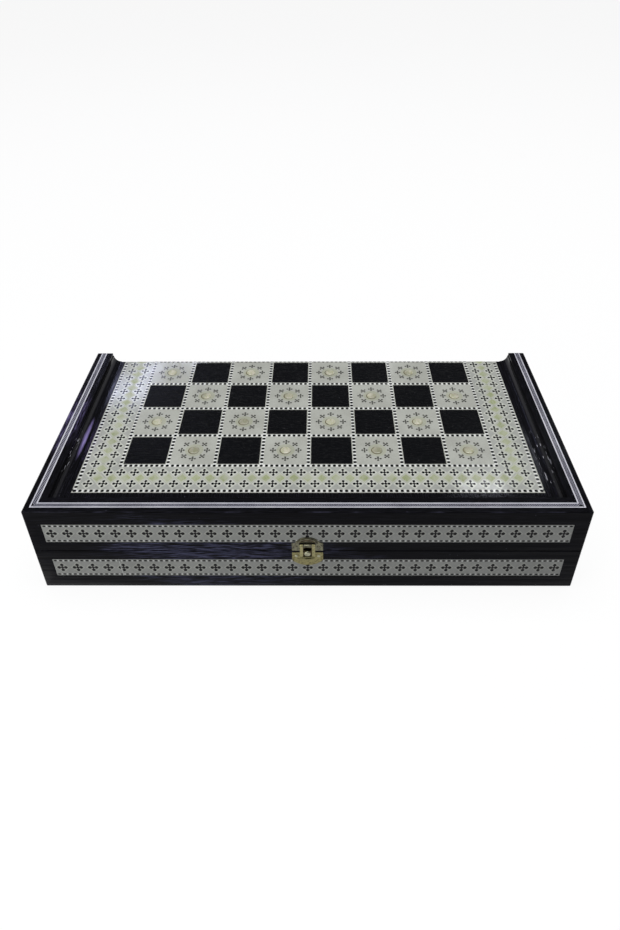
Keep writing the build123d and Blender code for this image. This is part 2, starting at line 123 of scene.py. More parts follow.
class Graph:
    """A shader tree with short calls for the nodes that the finishes use."""

    def __init__(self, tree: bpy.types.NodeTree) -> None:
        """Start on a tree.

        Args:
            tree: the material's, world's or group's node tree.
        """
        self.tree = tree

    def add(self, kind: str, inputs: dict | None = None, **settings: object) -> bpy.types.Node:
        """Add a node.

        Args:
            kind: the node's type name.
            inputs: values or sockets, by the input's name or number.
            settings: properties of the node.

        Returns:
            The new node.
        """
        node = self.tree.nodes.new(kind)
        for key, value in settings.items():
            setattr(node, key, value)
        for key, value in (inputs or {}).items():
            self.feed(node.inputs[key], value)
        return node

    def feed(self, socket: Socket, value: object) -> None:
        """Link a socket to another one, or set its value.

        Args:
            socket: the input.
            value: the output that feeds it, or its value.
        """
        if isinstance(value, bpy.types.NodeSocket):
            self.tree.links.new(value, socket)
        else:
            socket.default_value = value

    def math(self, operation: str, *values: object) -> Socket:
        """Return the result of one Math node on one, two or three values."""
        return self.add("ShaderNodeMath", dict(enumerate(values)), operation=operation).outputs[0]

    def vector(self, operation: str, *values: object) -> Socket:
        """Return the vector that one Vector Math node makes of one or two values."""
        inputs = dict(enumerate(values))
        return self.add("ShaderNodeVectorMath", inputs, operation=operation).outputs[0]

    def scaled(self, vector: Socket, scale: object) -> Socket:
        """Return a vector times another, part by part."""
        return self.vector("MULTIPLY", vector, scale)

    def ramp(
        self, value: Socket, low: float, high: float, start: object = 0.0, end: object = 1.0
    ) -> Socket:
        """Return a value carried smoothly from low..high to start..end, and held at the ends."""
        inputs = {"Value": value, "From Min": low, "From Max": high, "To Min": start, "To Max": end}
        return self.add("ShaderNodeMapRange", inputs, interpolation_type="SMOOTHSTEP").outputs[0]

    def mix(self, share: object, first: object, second: object, blend: str = "MIX") -> Socket:
        """Return two colours mixed by a share from 0 to 1."""
        inputs = {0: share, 6: opaque(first), 7: opaque(second)}
        return self.add("ShaderNodeMix", inputs, data_type="RGBA", blend_type=blend).outputs[2]

    def tint(self, colour: object, other: object, mask: Socket, strength: float) -> Socket:
        """Return a colour mixed towards another by a mask times a strength."""
        return self.mix(self.math("MULTIPLY", mask, strength), colour, other)

    def noise(
        self, point: Socket, scale: float, detail: float = 2.0, roughness: float = 0.5
    ) -> Socket:
        """Return the value of a Noise texture at a point."""
        inputs = {"Vector": point, "Scale": scale, "Detail": detail, "Roughness": roughness}
        return self.add("ShaderNodeTexNoise", inputs).outputs[0]

    def principled(
        self, colour: Socket, rough: Socket, height: Socket, relief: float, **levels: object
    ) -> bpy.types.Node:
        """Add a Principled shader with bumps.

        Args:
            colour: its base colour.
            rough: its roughness.
            height: the height of its bumps, from 0 to 1.
            relief: how far the full height stands out, in metres.
            levels: its other inputs, by their names with underscores for spaces.

        Returns:
            The shader node.
        """
        bumped = self.add("ShaderNodeBump", {"Height": height, "Distance": relief}).outputs[0]
        inputs = {"Base Color": colour, "Roughness": rough, "Normal": bumped}
        inputs.update((name.replace("_", " "), value) for name, value in levels.items())
        return self.add("ShaderNodeBsdfPrincipled", inputs)

    def millimetres(self) -> Socket:
        """Return the Object coordinates in millimetres."""
        metres = self.add("ShaderNodeTexCoord").outputs["Object"]
        return self.scaled(metres, (1 / MM, 1 / MM, 1 / MM))

    def effect(self, effect: Effect, **values: object) -> dict[str, Socket]:
        """Place a shared effect.

        Args:
            effect: the effect whose group is placed.
            values: values or sockets for the group's inputs, by name.

        Returns:
            The group's outputs, by name.
        """
        node = self.add("ShaderNodeGroup", node_tree=effect.group())
        for key, value in values.items():
            self.feed(node.inputs[key], value)
        return {output.name: output for output in node.outputs}


def opaque(colour: object) -> object:
    """Return a plain colour with full alpha, and a socket as it is."""
    return (*colour, 1.0) if isinstance(colour, tuple) and len(colour) == 3 else colour


@dataclass(frozen=True)
class Effect:
    """A node group that several finishes share.

    Attributes:
        name: the group's name.
        build: makes the nodes from a graph and the inputs, and returns the outputs by name.
        inputs: the usual value of each input, by name, a number or a vector.
        outputs: the names of the outputs, which are all numbers.
    """

    name: str
    build: Callable[[Graph, dict[str, Socket]], dict[str, Socket]]
    inputs: dict[str, float | Triple]
    outputs: tuple[str, ...]

    def group(self) -> bpy.types.NodeTree:
        """Make the group, the first time that it is asked for.

        Returns:
            The group's node tree.
        """
        found = bpy.data.node_groups.get(self.name)
        if found:
            return found
        tree = bpy.data.node_groups.new(self.name, "ShaderNodeTree")
        for name, usual in self.inputs.items():
            kind = "NodeSocketVector" if isinstance(usual, tuple) else "NodeSocketFloat"
            tree.interface.new_socket(name, in_out="INPUT", socket_type=kind).default_value = usual
        for name in self.outputs:
            tree.interface.new_socket(name, in_out="OUTPUT", socket_type="NodeSocketFloat")
        graph = Graph(tree)
        entry, leaving = graph.add("NodeGroupInput"), graph.add("NodeGroupOutput")
        given = {name: entry.outputs[name] for name in self.inputs}
        for name, socket in self.build(graph, given).items():
            graph.feed(leaving.inputs[name], socket)
        return tree


def build_brushed(graph: Graph, given: dict[str, Socket]) -> dict[str, Socket]:
    """Make long shallow waves with finer streaks on them, both stretched along the run.

    Args:
        graph: the group's graph.
        given: the group's inputs, by name.

    Returns:
        The group's outputs, by name.
    """
    point = graph.scaled(given["Point"], given["Stretch"])
    waves = graph.noise(point, scale=0.16, detail=1.5)
    streaks = graph.noise(point, scale=1.1, detail=3.0, roughness=0.6)
    height = graph.math("ADD", waves, graph.math("MULTIPLY", streaks, 0.22))
    return {"Height": height, "Streaks": graph.ramp(streaks, 0.42, 0.72)}


def build_scratched(graph: Graph, given: dict[str, Socket]) -> dict[str, Socket]:
    """Make hair scratches: the crests of a much stretched noise, kept only in loose patches.

    Args:
        graph: the group's graph.
        given: the group's inputs, by name.

    Returns:
        The group's outputs, by name.
    """
    point = graph.scaled(given["Point"], given["Stretch"])
    hairs = graph.ramp(graph.noise(point, scale=3.2, detail=4.0, roughness=0.7), 0.62, 0.7)
    patches = graph.ramp(graph.noise(given["Point"], scale=0.02, detail=2.0), 0.45, 0.62)
    return {"Mask": graph.math("MULTIPLY", hairs, patches)}


def build_specks(graph: Graph, given: dict[str, Socket]) -> dict[str, Socket]:
    """Make grains of dust under the varnish: round cells, with most of them left out.

    Args:
        graph: the group's graph.
        given: the group's inputs, by name.

    Returns:
        The group's outputs, by name.
    """
    inputs = {"Vector": given["Point"], "Scale": given["Density"]}
    cells = graph.add("ShaderNodeTexVoronoi", inputs)
    round_grain = graph.ramp(cells.outputs["Distance"], 0.05, 0.12, 1.0, 0.0)
    chance = graph.add("ShaderNodeSeparateColor", {0: cells.outputs["Color"]}).outputs[0]
    return {"Mask": graph.math("MULTIPLY", round_grain, graph.math("GREATER_THAN", chance, 0.86))}


def build_wear_and_highlight_edges(graph: Graph, given: dict[str, Socket]) -> dict[str, Socket]:
    """Find the outer edges of the shut board, where the lacquer is worn and a painted highlight
    runs.

    The gap to each pair of outer faces is half the size less the distance from the middle. Near an
    edge two gaps are small, so the mask follows the middle one of the three, broken up by noise.

    Args:
        graph: the group's graph.
        given: the group's inputs, by name.

    Returns:
        The group's outputs, by name.
    """
    away = graph.vector("ABSOLUTE", graph.vector("SUBTRACT", given["Point"], given["Middle"]))
    gap = graph.vector("SUBTRACT", given["Extent"], away)
    parts = graph.add("ShaderNodeSeparateXYZ", {0: gap}).outputs
    pairs = [graph.math("MAXIMUM", parts[a], parts[b]) for a, b in ((0, 1), (0, 2), (1, 2))]
    nearest = graph.math("MINIMUM", graph.math("MINIMUM", pairs[0], pairs[1]), pairs[2])
    ragged = graph.noise(given["Point"], scale=0.04, detail=4.0)
    uneven = graph.math("MULTIPLY_ADD", ragged, 3.4, -1.5)
    return {"Mask": graph.ramp(graph.math("SUBTRACT", nearest, uneven), -0.2, 0.5, 1.0, 0.0)}


def build_toned(graph: Graph, given: dict[str, Socket]) -> dict[str, Socket]:
    """Make the cloudy tone of bone slips: broad drifts, small flecks and a fine tooth.

    Args:
        graph: the group's graph.
        given: the group's inputs, by name.

    Returns:
        The group's outputs, by name.
    """
    drift = graph.noise(given["Point"], scale=0.035, detail=3.0)
    flecks = graph.noise(given["Point"], scale=0.5, detail=3.0, roughness=0.6)
    tone = graph.math("ADD", graph.math("MULTIPLY", drift, 0.6),
                      graph.math("MULTIPLY", flecks, 0.4))
    return {"Tone": graph.ramp(tone, 0.34, 0.66), "Height": flecks}


def build_grained(graph: Graph, given: dict[str, Socket]) -> dict[str, Socket]:
    """Make wood grain: growth rings bent by a slow noise, with short dark pores along the run.

    Args:
        graph: the group's graph.
        given: the group's inputs, by name.

    Returns:
        The group's outputs, by name.
    """
    point = graph.scaled(given["Point"], given["Stretch"])
    bend = graph.noise(point, scale=0.06, detail=2.0)
    rings = graph.math("FRACT", graph.math("MULTIPLY", bend, 14.0))
    soft_rings = graph.math("ABSOLUTE", graph.math("SUBTRACT", rings, 0.5))
    pores = graph.ramp(graph.noise(point, scale=2.4, detail=2.0, roughness=0.7), 0.6, 0.72)
    fibre = graph.noise(point, scale=0.9, detail=4.0, roughness=0.65)
    return {"Rings": graph.math("MULTIPLY", soft_rings, 2.0), "Pores": pores, "Fibre": fibre}


NOWHERE, EVEN = (0.0, 0.0, 0.0), (1.0, 1.0, 1.0)
STRETCHED = {"Point": NOWHERE, "Stretch": EVEN}

BRUSHED = Effect("brushed", build_brushed, STRETCHED, ("Height", "Streaks"))
SCRATCHED = Effect("scratched", build_scratched, STRETCHED, ("Mask",))
SPECKS = Effect("specks", build_specks, {"Point": NOWHERE, "Density": 0.1}, ("Mask",))
WEAR_AND_HIGHLIGHT_EDGES = Effect(
    "wear_and_highlight_edges", build_wear_and_highlight_edges,
    {"Point": NOWHERE, "Middle": NOWHERE, "Extent": EVEN}, ("Mask",),
)
TONED = Effect("toned", build_toned, {"Point": NOWHERE}, ("Tone", "Height"))
GRAINED = Effect("grained", build_grained, STRETCHED, ("Rings", "Pores", "Fibre"))


# Finishes


@dataclass(frozen=True)
class Finish:
    """What every finish has in common.

    Attributes:
        name: the material's name.
    """

    name: str

    def material(self) -> bpy.types.Material:
        """Make the material, the first time that it is asked for.

        Returns:
            The material.
        """
        found = bpy.data.materials.get(self.name)
        if found:
            return found
        made = bpy.data.materials.new(self.name)
        made.use_nodes = True
        made.node_tree.nodes.clear()
        graph = Graph(made.node_tree)
        surface = self.surface(graph)
        graph.add("ShaderNodeOutputMaterial", {"Surface": surface.outputs[0]})
        return made

    def surface(self, graph: Graph) -> bpy.types.Node:
        """Add the nodes of this finish and return the shader node."""
        raise NotImplementedError


@dataclass(frozen=True)
class Lacquer(Finish):
    """Black lacquer brushed over wood, worn at the outer edges, with painted highlights and sheen.

    Attributes:
        run: the way that the wood runs.
        middle: middle of the shut board, in millimetres.
        half_size: half of the shut board's sizes, in millimetres.
        painted_sheen_patch: middle and reach of a patch of painted sheen, in millimetres.
        painted_sheen_colour: the painted sheen, laid along the streaks of that patch.
        even: how far the painted sheen is filled in between its streaks, from 0 to 1.
        painted_highlights: middle, reach, fineness and length of each patch of painted bright
            dashes.
        colour: the lacquer.
        wear_and_highlight: what worn edges, scratches and dust come to, and the painted edge
            highlight and sheen.
        painted_highlight: the colour of the painted bright dashes.
        shine: specular level of the lacquer.
        gloss: roughness of the smooth parts.
        relief: depth of the brush marks, in metres.
    """

    run: Run
    middle: Triple
    half_size: Triple
    painted_sheen_patch: tuple[Triple, Triple]
    painted_sheen_colour: Colour
    even: float = 0.0
    painted_highlights: tuple[tuple[Triple, Triple, float, float], ...] = ()
    colour: Colour = (0.0034, 0.0034, 0.0038)
    wear_and_highlight: Colour = (0.09, 0.09, 0.14)
    painted_highlight: Colour = (0.75, 0.75, 0.83)
    shine: float = 0.045
    gloss: float = 0.12
    relief: float = 0.0006

    def stretch(self, most: float) -> Triple:
        """Return the scale that draws a pattern out along the run."""
        return tuple(1.0 / most if share else 1.0 for share in self.run.value)

    def patch(self, graph: Graph, point: Socket, middle: Triple, reach: Triple) -> Socket:
        """Make an uneven oval patch that fades out towards its reach.

        Args:
            graph: the material's graph.
            point: the place on the surface, in millimetres.
            middle: middle of the patch.
            reach: half of its sizes.

        Returns:
            The patch's mask.
        """
        offset = graph.vector("SUBTRACT", point, middle)
        oval = graph.scaled(offset, tuple(1.0 / part for part in reach))
        away = graph.add("ShaderNodeVectorMath", {0: oval}, operation="LENGTH").outputs["Value"]
        uneven = graph.noise(graph.scaled(point, self.stretch(4.0)), scale=0.05, detail=3.0)
        away = graph.math("MULTIPLY_ADD", uneven, 1.6, graph.math("SUBTRACT", away, 0.8))
        return graph.ramp(away, 0.2, 1.0, 1.0, 0.0)

    def surface(self, graph: Graph) -> bpy.types.Node:
        """Add the lacquer's nodes.

        Args:
            graph: the material's graph.

        Returns:
            The shader node.
        """
        point = graph.millimetres()
        brushed = graph.effect(BRUSHED, Point=point, Stretch=self.stretch(18.0))
        scratched = graph.effect(SCRATCHED, Point=point, Stretch=self.stretch(40.0))["Mask"]
        wear_and_highlight = graph.effect(
            WEAR_AND_HIGHLIGHT_EDGES, Point=point, Middle=self.middle, Extent=self.half_size
        )["Mask"]
        specks = graph.effect(SPECKS, Point=point, Density=0.16)["Mask"]
        dust = graph.math("MULTIPLY", specks, 0.3)
        # Worn edges: partly wear of the lacquer and partly a painted highlight along the outer
        # edges; scratches and dust are wear.
        worn = graph.math("MAXIMUM", graph.math("MULTIPLY", wear_and_highlight, 0.3),
                          graph.math("MULTIPLY", scratched, 0.25))
        worn = graph.math("MAXIMUM", worn, dust)
        base = graph.mix(worn, self.colour, self.wear_and_highlight)
        # Painted sheen: the brush streaks are tinted a little towards the pale colour.
        base = graph.tint(base, self.wear_and_highlight, brushed["Streaks"], 0.05)
        # Painted sheen: a patch of coloured reflection painted into the lacquer along its streaks.
        filled = graph.math("MULTIPLY_ADD", brushed["Streaks"], 1.0 - self.even, self.even)
        painted_sheen_patch = graph.math("MULTIPLY", self.patch(graph, point, *self.painted_sheen_patch), filled)
        base = graph.mix(painted_sheen_patch, base, self.painted_sheen_colour)
        # Painted highlights: short bright dashes of a lamp's reflection painted into the colour.
        for middle, reach, fineness, length in self.painted_highlights:
            dashes = graph.scaled(graph.scaled(point, self.stretch(length)), (1.0, 1.0, 0.3))
            dashes = graph.ramp(graph.noise(dashes, scale=fineness, detail=1.0), 0.63, 0.67)
            painted_highlights = graph.math("MULTIPLY", self.patch(graph, point, middle, reach), dashes)
            base = graph.mix(painted_highlights, base, self.painted_highlight)
        rough = graph.ramp(brushed["Streaks"], 0.0, 1.0, self.gloss, self.gloss + 0.1)
        rough = graph.math("ADD", rough, graph.math("MULTIPLY", worn, 0.3))
        return graph.principled(
            base, rough, graph.math("ADD", brushed["Height"], dust), self.relief,
            IOR=1.46, Specular_IOR_Level=self.shine, Specular_Tint=(0.8, 0.8, 1.0, 1.0),
        )


@dataclass(frozen=True)
class Bone(Finish):
    """Slips of bone and pale wood under varnish.

    Attributes:
        light: the paler tone.
        dark: the deeper tone.
        gloss: roughness of the varnish.
    """

    light: Colour
    dark: Colour
    gloss: float = 0.08

    def surface(self, graph: Graph) -> bpy.types.Node:
        """Add the bone's nodes.

        Args:
            graph: the material's graph.

        Returns:
            The shader node.
        """
        point = graph.millimetres()
        toned = graph.effect(TONED, Point=point)
        specks = graph.effect(SPECKS, Point=point, Density=0.3)["Mask"]
        colour = graph.mix(toned["Tone"], self.dark, self.light)
        colour = graph.tint(colour, tuple(0.5 * part for part in self.dark), specks, 0.35)
        rough = graph.ramp(toned["Tone"], 0.0, 1.0, self.gloss + 0.05, self.gloss)
        return graph.principled(colour, rough, toned["Height"], 0.00001, Specular_IOR_Level=0.45)


@dataclass(frozen=True)
class Ebony(Finish):
    """Dark wood let into the bone, with faint fibre.

    Attributes:
        colour: the wood.
        gloss: roughness of its surface.
        shine: specular level of its surface.
        relief: depth of its pores, in metres.
    """

    colour: Colour
    gloss: float = 0.2
    shine: float = 0.1
    relief: float = 0.00008

    def surface(self, graph: Graph) -> bpy.types.Node:
        """Add the dark wood's nodes.

        Args:
            graph: the material's graph.

        Returns:
            The shader node.
        """
        point = graph.millimetres()
        grained = graph.effect(GRAINED, Point=point, Stretch=(0.08, 1.0, 1.0))
        specks = graph.effect(SPECKS, Point=point, Density=0.12)["Mask"]
        lighter = tuple(2.1 * part for part in self.colour)
        colour = graph.tint(self.colour, lighter, grained["Fibre"], 0.7)
        colour = graph.tint(colour, (0.12, 0.12, 0.13), specks, 0.25)
        rough = graph.ramp(grained["Fibre"], 0.3, 0.7, self.gloss, self.gloss + 0.1)
        return graph.principled(colour, rough, grained["Pores"], -self.relief,
                                Specular_IOR_Level=self.shine)


@dataclass(frozen=True)
class Shell(Finish):
    """Mother-of-pearl, whose layers drift from yellow to green and rose.

    Attributes:
        colour: the main tone.
        drift: the tone that the layers drift to.
        pale: the milky bands between them.
        spread: how far one piece may be darker than another, as a share.
        fade: how far one piece may be milkier than another, as a share.
    """

    colour: Colour
    drift: Colour
    pale: Colour
    spread: float = 0.15
    fade: float = 0.0

    def surface(self, graph: Graph) -> bpy.types.Node:
        """Add the shell's nodes.

        Args:
            graph: the material's graph.

        Returns:
            The shader node.
        """
        point = graph.millimetres()
        drawn_out = graph.scaled(point, (1.0, 0.45, 1.0))
        layers = graph.noise(drawn_out, scale=0.28, detail=4.0, roughness=0.6)
        bands = graph.math("ABSOLUTE", graph.math("SINE", graph.math("MULTIPLY", layers, 22.0)))
        colour = graph.mix(graph.ramp(layers, 0.4, 0.62), self.colour, self.drift)
        colour = graph.tint(colour, self.pale, bands, 0.45)
        shade = graph.noise(point, scale=0.045, detail=0.0)
        shade = graph.ramp(shade, 0.35, 0.65, 0.0, self.spread)
        colour = graph.mix(shade, colour, tuple(0.3 * part for part in self.colour))
        milky = graph.ramp(graph.noise(point, scale=0.06, detail=1.0), 0.48, 0.66, 0.0, self.fade)
        colour = graph.mix(milky, colour, self.pale)
        rough = graph.ramp(bands, 0.0, 1.0, 0.14, 0.24)
        return graph.principled(colour, rough, layers, 0.0002, Specular_IOR_Level=0.5)


@dataclass(frozen=True)
class Brass(Finish):
    """Old brass: olive-yellow where it is handled and brown in its hollows.

    Attributes:
        bright: the handled metal.
        dull: the tarnish.
        share: how much of the surface the tarnish takes, from 0 to 1.
    """

    bright: Colour
    dull: Colour = (0.13, 0.11, 0.06)
    share: float = 0.5

    def surface(self, graph: Graph) -> bpy.types.Node:
        """Add the brass's nodes.

        Args:
            graph: the material's graph.

        Returns:
            The shader node.
        """
        point = graph.millimetres()
        blotches = graph.noise(point, scale=0.42, detail=5.0, roughness=0.62)
        edge = 0.72 - 0.3 * self.share
        tarnish = graph.ramp(blotches, edge - 0.16, edge + 0.1)
        fine = graph.scaled(point, (3.0, 3.0, 3.0))
        scratched = graph.effect(SCRATCHED, Point=fine, Stretch=(0.06, 1.0, 1.0))["Mask"]
        colour = graph.mix(tarnish, self.bright, self.dull)
        rough = graph.ramp(tarnish, 0.0, 1.0, 0.28, 0.5)
        rough = graph.math("ADD", rough, graph.math("MULTIPLY", scratched, 0.15))
        return graph.principled(colour, rough, blotches, 0.00025, Metallic=1.0)


@dataclass(frozen=True)
class Veneer(Finish):
    """Satin-varnished veneer of the backgammon field.

    Attributes:
        light: the wood between the rings.
        dark: the rings and pores.
        gloss: roughness of the varnish.
    """

    light: Colour
    dark: Colour
    gloss: float = 0.34

    def surface(self, graph: Graph) -> bpy.types.Node:
        """Add the veneer's nodes.

        Args:
            graph: the material's graph.

        Returns:
            The shader node.
        """
        grained = graph.effect(GRAINED, Point=graph.millimetres(), Stretch=(0.07, 1.0, 1.0))
        colour = graph.mix(grained["Rings"], self.dark, self.light)
        colour = graph.tint(colour, self.light, grained["Fibre"], 0.5)
        colour = graph.tint(colour, self.dark, grained["Pores"], 0.6)
        rough = graph.ramp(grained["Fibre"], 0.3, 0.7, self.gloss, self.gloss + 0.14)
        return graph.principled(colour, rough, grained["Pores"], -0.0001, Specular_IOR_Level=0.4)


@dataclass(frozen=True)
class Floor(Finish):
    """A white studio floor that keeps the object's shadow.

    The floor is lifted towards white for the camera and for what gloss and glass show, but not for
    the light that it throws back.

    Attributes:
        colour: the floor's colour where its light falls on the board.
        shown: its colour for the camera.
        lift: the share of plain white that is mixed in for the camera.
    """

    colour: Colour = (0.2, 0.2, 0.21)
    shown: Colour = (0.95, 0.95, 0.95)
    lift: float = 0.92

    def surface(self, graph: Graph) -> bpy.types.Node:
        """Add the floor's nodes.

        Args:
            graph: the material's graph.

        Returns:
            The shader node.
        """
        path = graph.add("ShaderNodeLightPath").outputs
        seen = graph.math("MAXIMUM", path["Is Camera Ray"],
                          graph.math("MAXIMUM", path["Is Glossy Ray"], path["Is Transmission Ray"]))
        cloud = graph.noise(graph.millimetres(), scale=0.01, detail=2.0)
        shown = graph.tint(self.shown, (0.85, 0.85, 0.86), cloud, 0.1)
        matt = graph.add("ShaderNodeBsdfPrincipled", {
            "Base Color": graph.mix(seen, self.colour, shown),
            "Roughness": 0.9,
            "Specular IOR Level": 0.0,
        })
        white = graph.add("ShaderNodeEmission", {"Color": (1.0, 1.0, 1.0, 1.0), "Strength": 1.0})
        share = graph.math("MULTIPLY", seen, self.lift)
        return graph.add("ShaderNodeMixShader", {0: share, 1: matt.outputs[0], 2: white.outputs[0]})


# Shapes


@dataclass(frozen=True)
class Bed:
    """A flat face that small pieces lie in.

    Attributes:
        origin: where its own X and Y start.
        right: its X direction.
        up: its Y direction.
        normal: the way it faces.
    """

    origin: np.ndarray
    right: np.ndarray
    up: np.ndarray
    normal: np.ndarray

    @classmethod
    def level(cls, height: float, facing: float) -> Bed:
        """Return a level face at a height, which faces up for 1 and down for -1."""
        x, y, z = np.eye(3)
        return cls(height * z, x, y, facing * z)

    @property
    def left_handed(self) -> bool:
        """Return whether X, Y and the facing direction make a left-handed set."""
        return float(np.cross(self.right, self.up) @ self.normal) < 0

    def lift(self, flat: np.ndarray, height: np.ndarray | float) -> np.ndarray:
        """Carry points of the face into space: origin + x right + y up + height normal.

        Args:
            flat: points on the face, with X and Y on the last axis.
            height: how far each stands out of the face.

        Returns:
            The points in space, with three numbers on the last axis.
        """
        height = np.broadcast_to(height, flat.shape[:-1])
        across = flat[..., :1] * self.right + flat[..., 1:] * self.up
        return self.origin + across + height[..., None] * self.normal


def disc_outline(width: float, height: float, sides: int) -> np.ndarray:
    """Return an oval's corners: half the width times the cosine, half the height times the sine."""
    angle = np.arange(sides) * 2 * math.pi / sides
    return np.stack((width / 2 * np.cos(angle), height / 2 * np.sin(angle)), axis=-1)


def half_disc_outline(width: float, sides: int) -> np.ndarray:
    """Return the lower half of a disc, cut off straight along its middle."""
    angle = math.pi + np.arange(sides + 1) * math.pi / sides
    return width / 2 * np.stack((np.cos(angle), np.sin(angle)), axis=-1)


def box_outline(width: float, height: float, slant: float = 0.0) -> np.ndarray:
    """Draw a rectangle, or a leaning one whose upper edge lies further along.

    Args:
        width: along its edges.
        height: between its lower and its upper edge.
        slant: how much further along the upper edge lies.

    Returns:
        The outline's points, anticlockwise.
    """
    x = np.array((-1, 1, 1, -1)) * width / 2 + np.array((-1, -1, 1, 1)) * slant / 2
    y = np.array((-1, -1, 1, 1)) * height / 2
    return np.stack((x, y), axis=-1)


def diamond_outline(width: float, height: float) -> np.ndarray:
    """Return a diamond, with its width and height from point to point."""
    return np.array(((1, 0), (0, 1), (-1, 0), (0, -1))) * (width / 2, height / 2)


def cut_level(outline: np.ndarray, top: float) -> np.ndarray:
    """Return the part of an outline under a height.

    Every corner under the height stays, and each edge that crosses it gives the point where the
    share (height - start) / (end - start) of it is done.

    Args:
        outline: the outline's points.
        top: the height, on the outline's own Y.

    Returns:
        The points of what is left.
    """
    nearly = 1e-6
    after = np.roll(outline, -1, axis=0)
    with np.errstate(divide="ignore", invalid="ignore"):
        share = (top - outline[:, 1]) / (after[:, 1] - outline[:, 1])
    crossed = (share > nearly) & (share < 1 - nearly)
    met = outline + np.where(crossed, share, 0.0)[:, None] * (after - outline)
    kept = np.stack((outline[:, 1] < top + nearly * MM, crossed), axis=-1)
    return np.stack((outline, met), axis=1)[kept]


def crescent_outline(
    reach: float, shoulder: float, crowns: tuple[float, float], steps: int
) -> np.ndarray:
    """Return the gap between two arcs of circles that meet at their ends.

    An arc of half width w that rises by h is part of a circle of radius (w^2 + h^2) / 2h, whose
    centre lies that radius under the crown.

    Args:
        reach: half the width of both arcs.
        shoulder: height of their ends.
        crowns: heights of the upper and the lower arc in the middle.
        steps: points along each arc.

    Returns:
        The outline's points, anticlockwise.
    """
    arcs = []
    for crown in crowns:
        radius = (reach**2 + (crown - shoulder)**2) / (2 * (crown - shoulder))
        angle = np.linspace(-1, 1, steps) * math.asin(reach / radius)
        height = crown - radius + radius * np.cos(angle)
        arcs.append(np.stack((radius * np.sin(angle), height), axis=-1))
    return np.concatenate((arcs[0][::-1], arcs[1][1:-1]))


def cross_outline(width: float, dot: float, hub: float, neck: float, arc: int) -> np.ndarray:
    """Return a cross of four dots joined to a hub by thin necks.

    One arm runs from the hub along the lower side of its neck, round its dot, and back along the
    upper side. The dot's circle is left where the neck meets it, at the angle whose sine is half
    the neck over the dot's radius. The arm is turned by a quarter three times.

    Args:
        width: across the whole cross.
        dot: diameter of the four dots.
        hub: diameter of the middle.
        neck: width of the necks.
        arc: points along each dot.

    Returns:
        The outline's points, anticlockwise.
    """
    centre = (width - dot) / 2
    gap = math.asin(neck / dot)
    angle = np.linspace(-math.pi + gap, math.pi - gap, arc)
    tip = np.stack((centre + dot / 2 * np.cos(angle), dot / 2 * np.sin(angle)), axis=-1)
    root = math.sqrt(hub**2 - neck**2) / 2
    arm = np.concatenate(([[root, -neck / 2]], tip, [[root, neck / 2]]))
    return np.concatenate([rotate(arm, quarter * math.pi / 2) for quarter in range(4)])


def rotate(outline: np.ndarray, turn: float) -> np.ndarray:
    """Return an outline turned by an angle: x cos - y sin, x sin + y cos."""
    c, s = math.cos(turn), math.sin(turn)
    return outline @ np.array(((c, s), (-s, c)))


def points_between(x: ArrayLike, y: ArrayLike) -> np.ndarray:
    """Return every pair of an x and a y, as an array of points."""
    return np.stack(np.meshgrid(x, y), axis=-1).reshape(-1, 2)


def mirrored(points: np.ndarray) -> np.ndarray:
    """Return points together with their mirror images in X."""
    return np.concatenate((points, points * (-1, 1)))


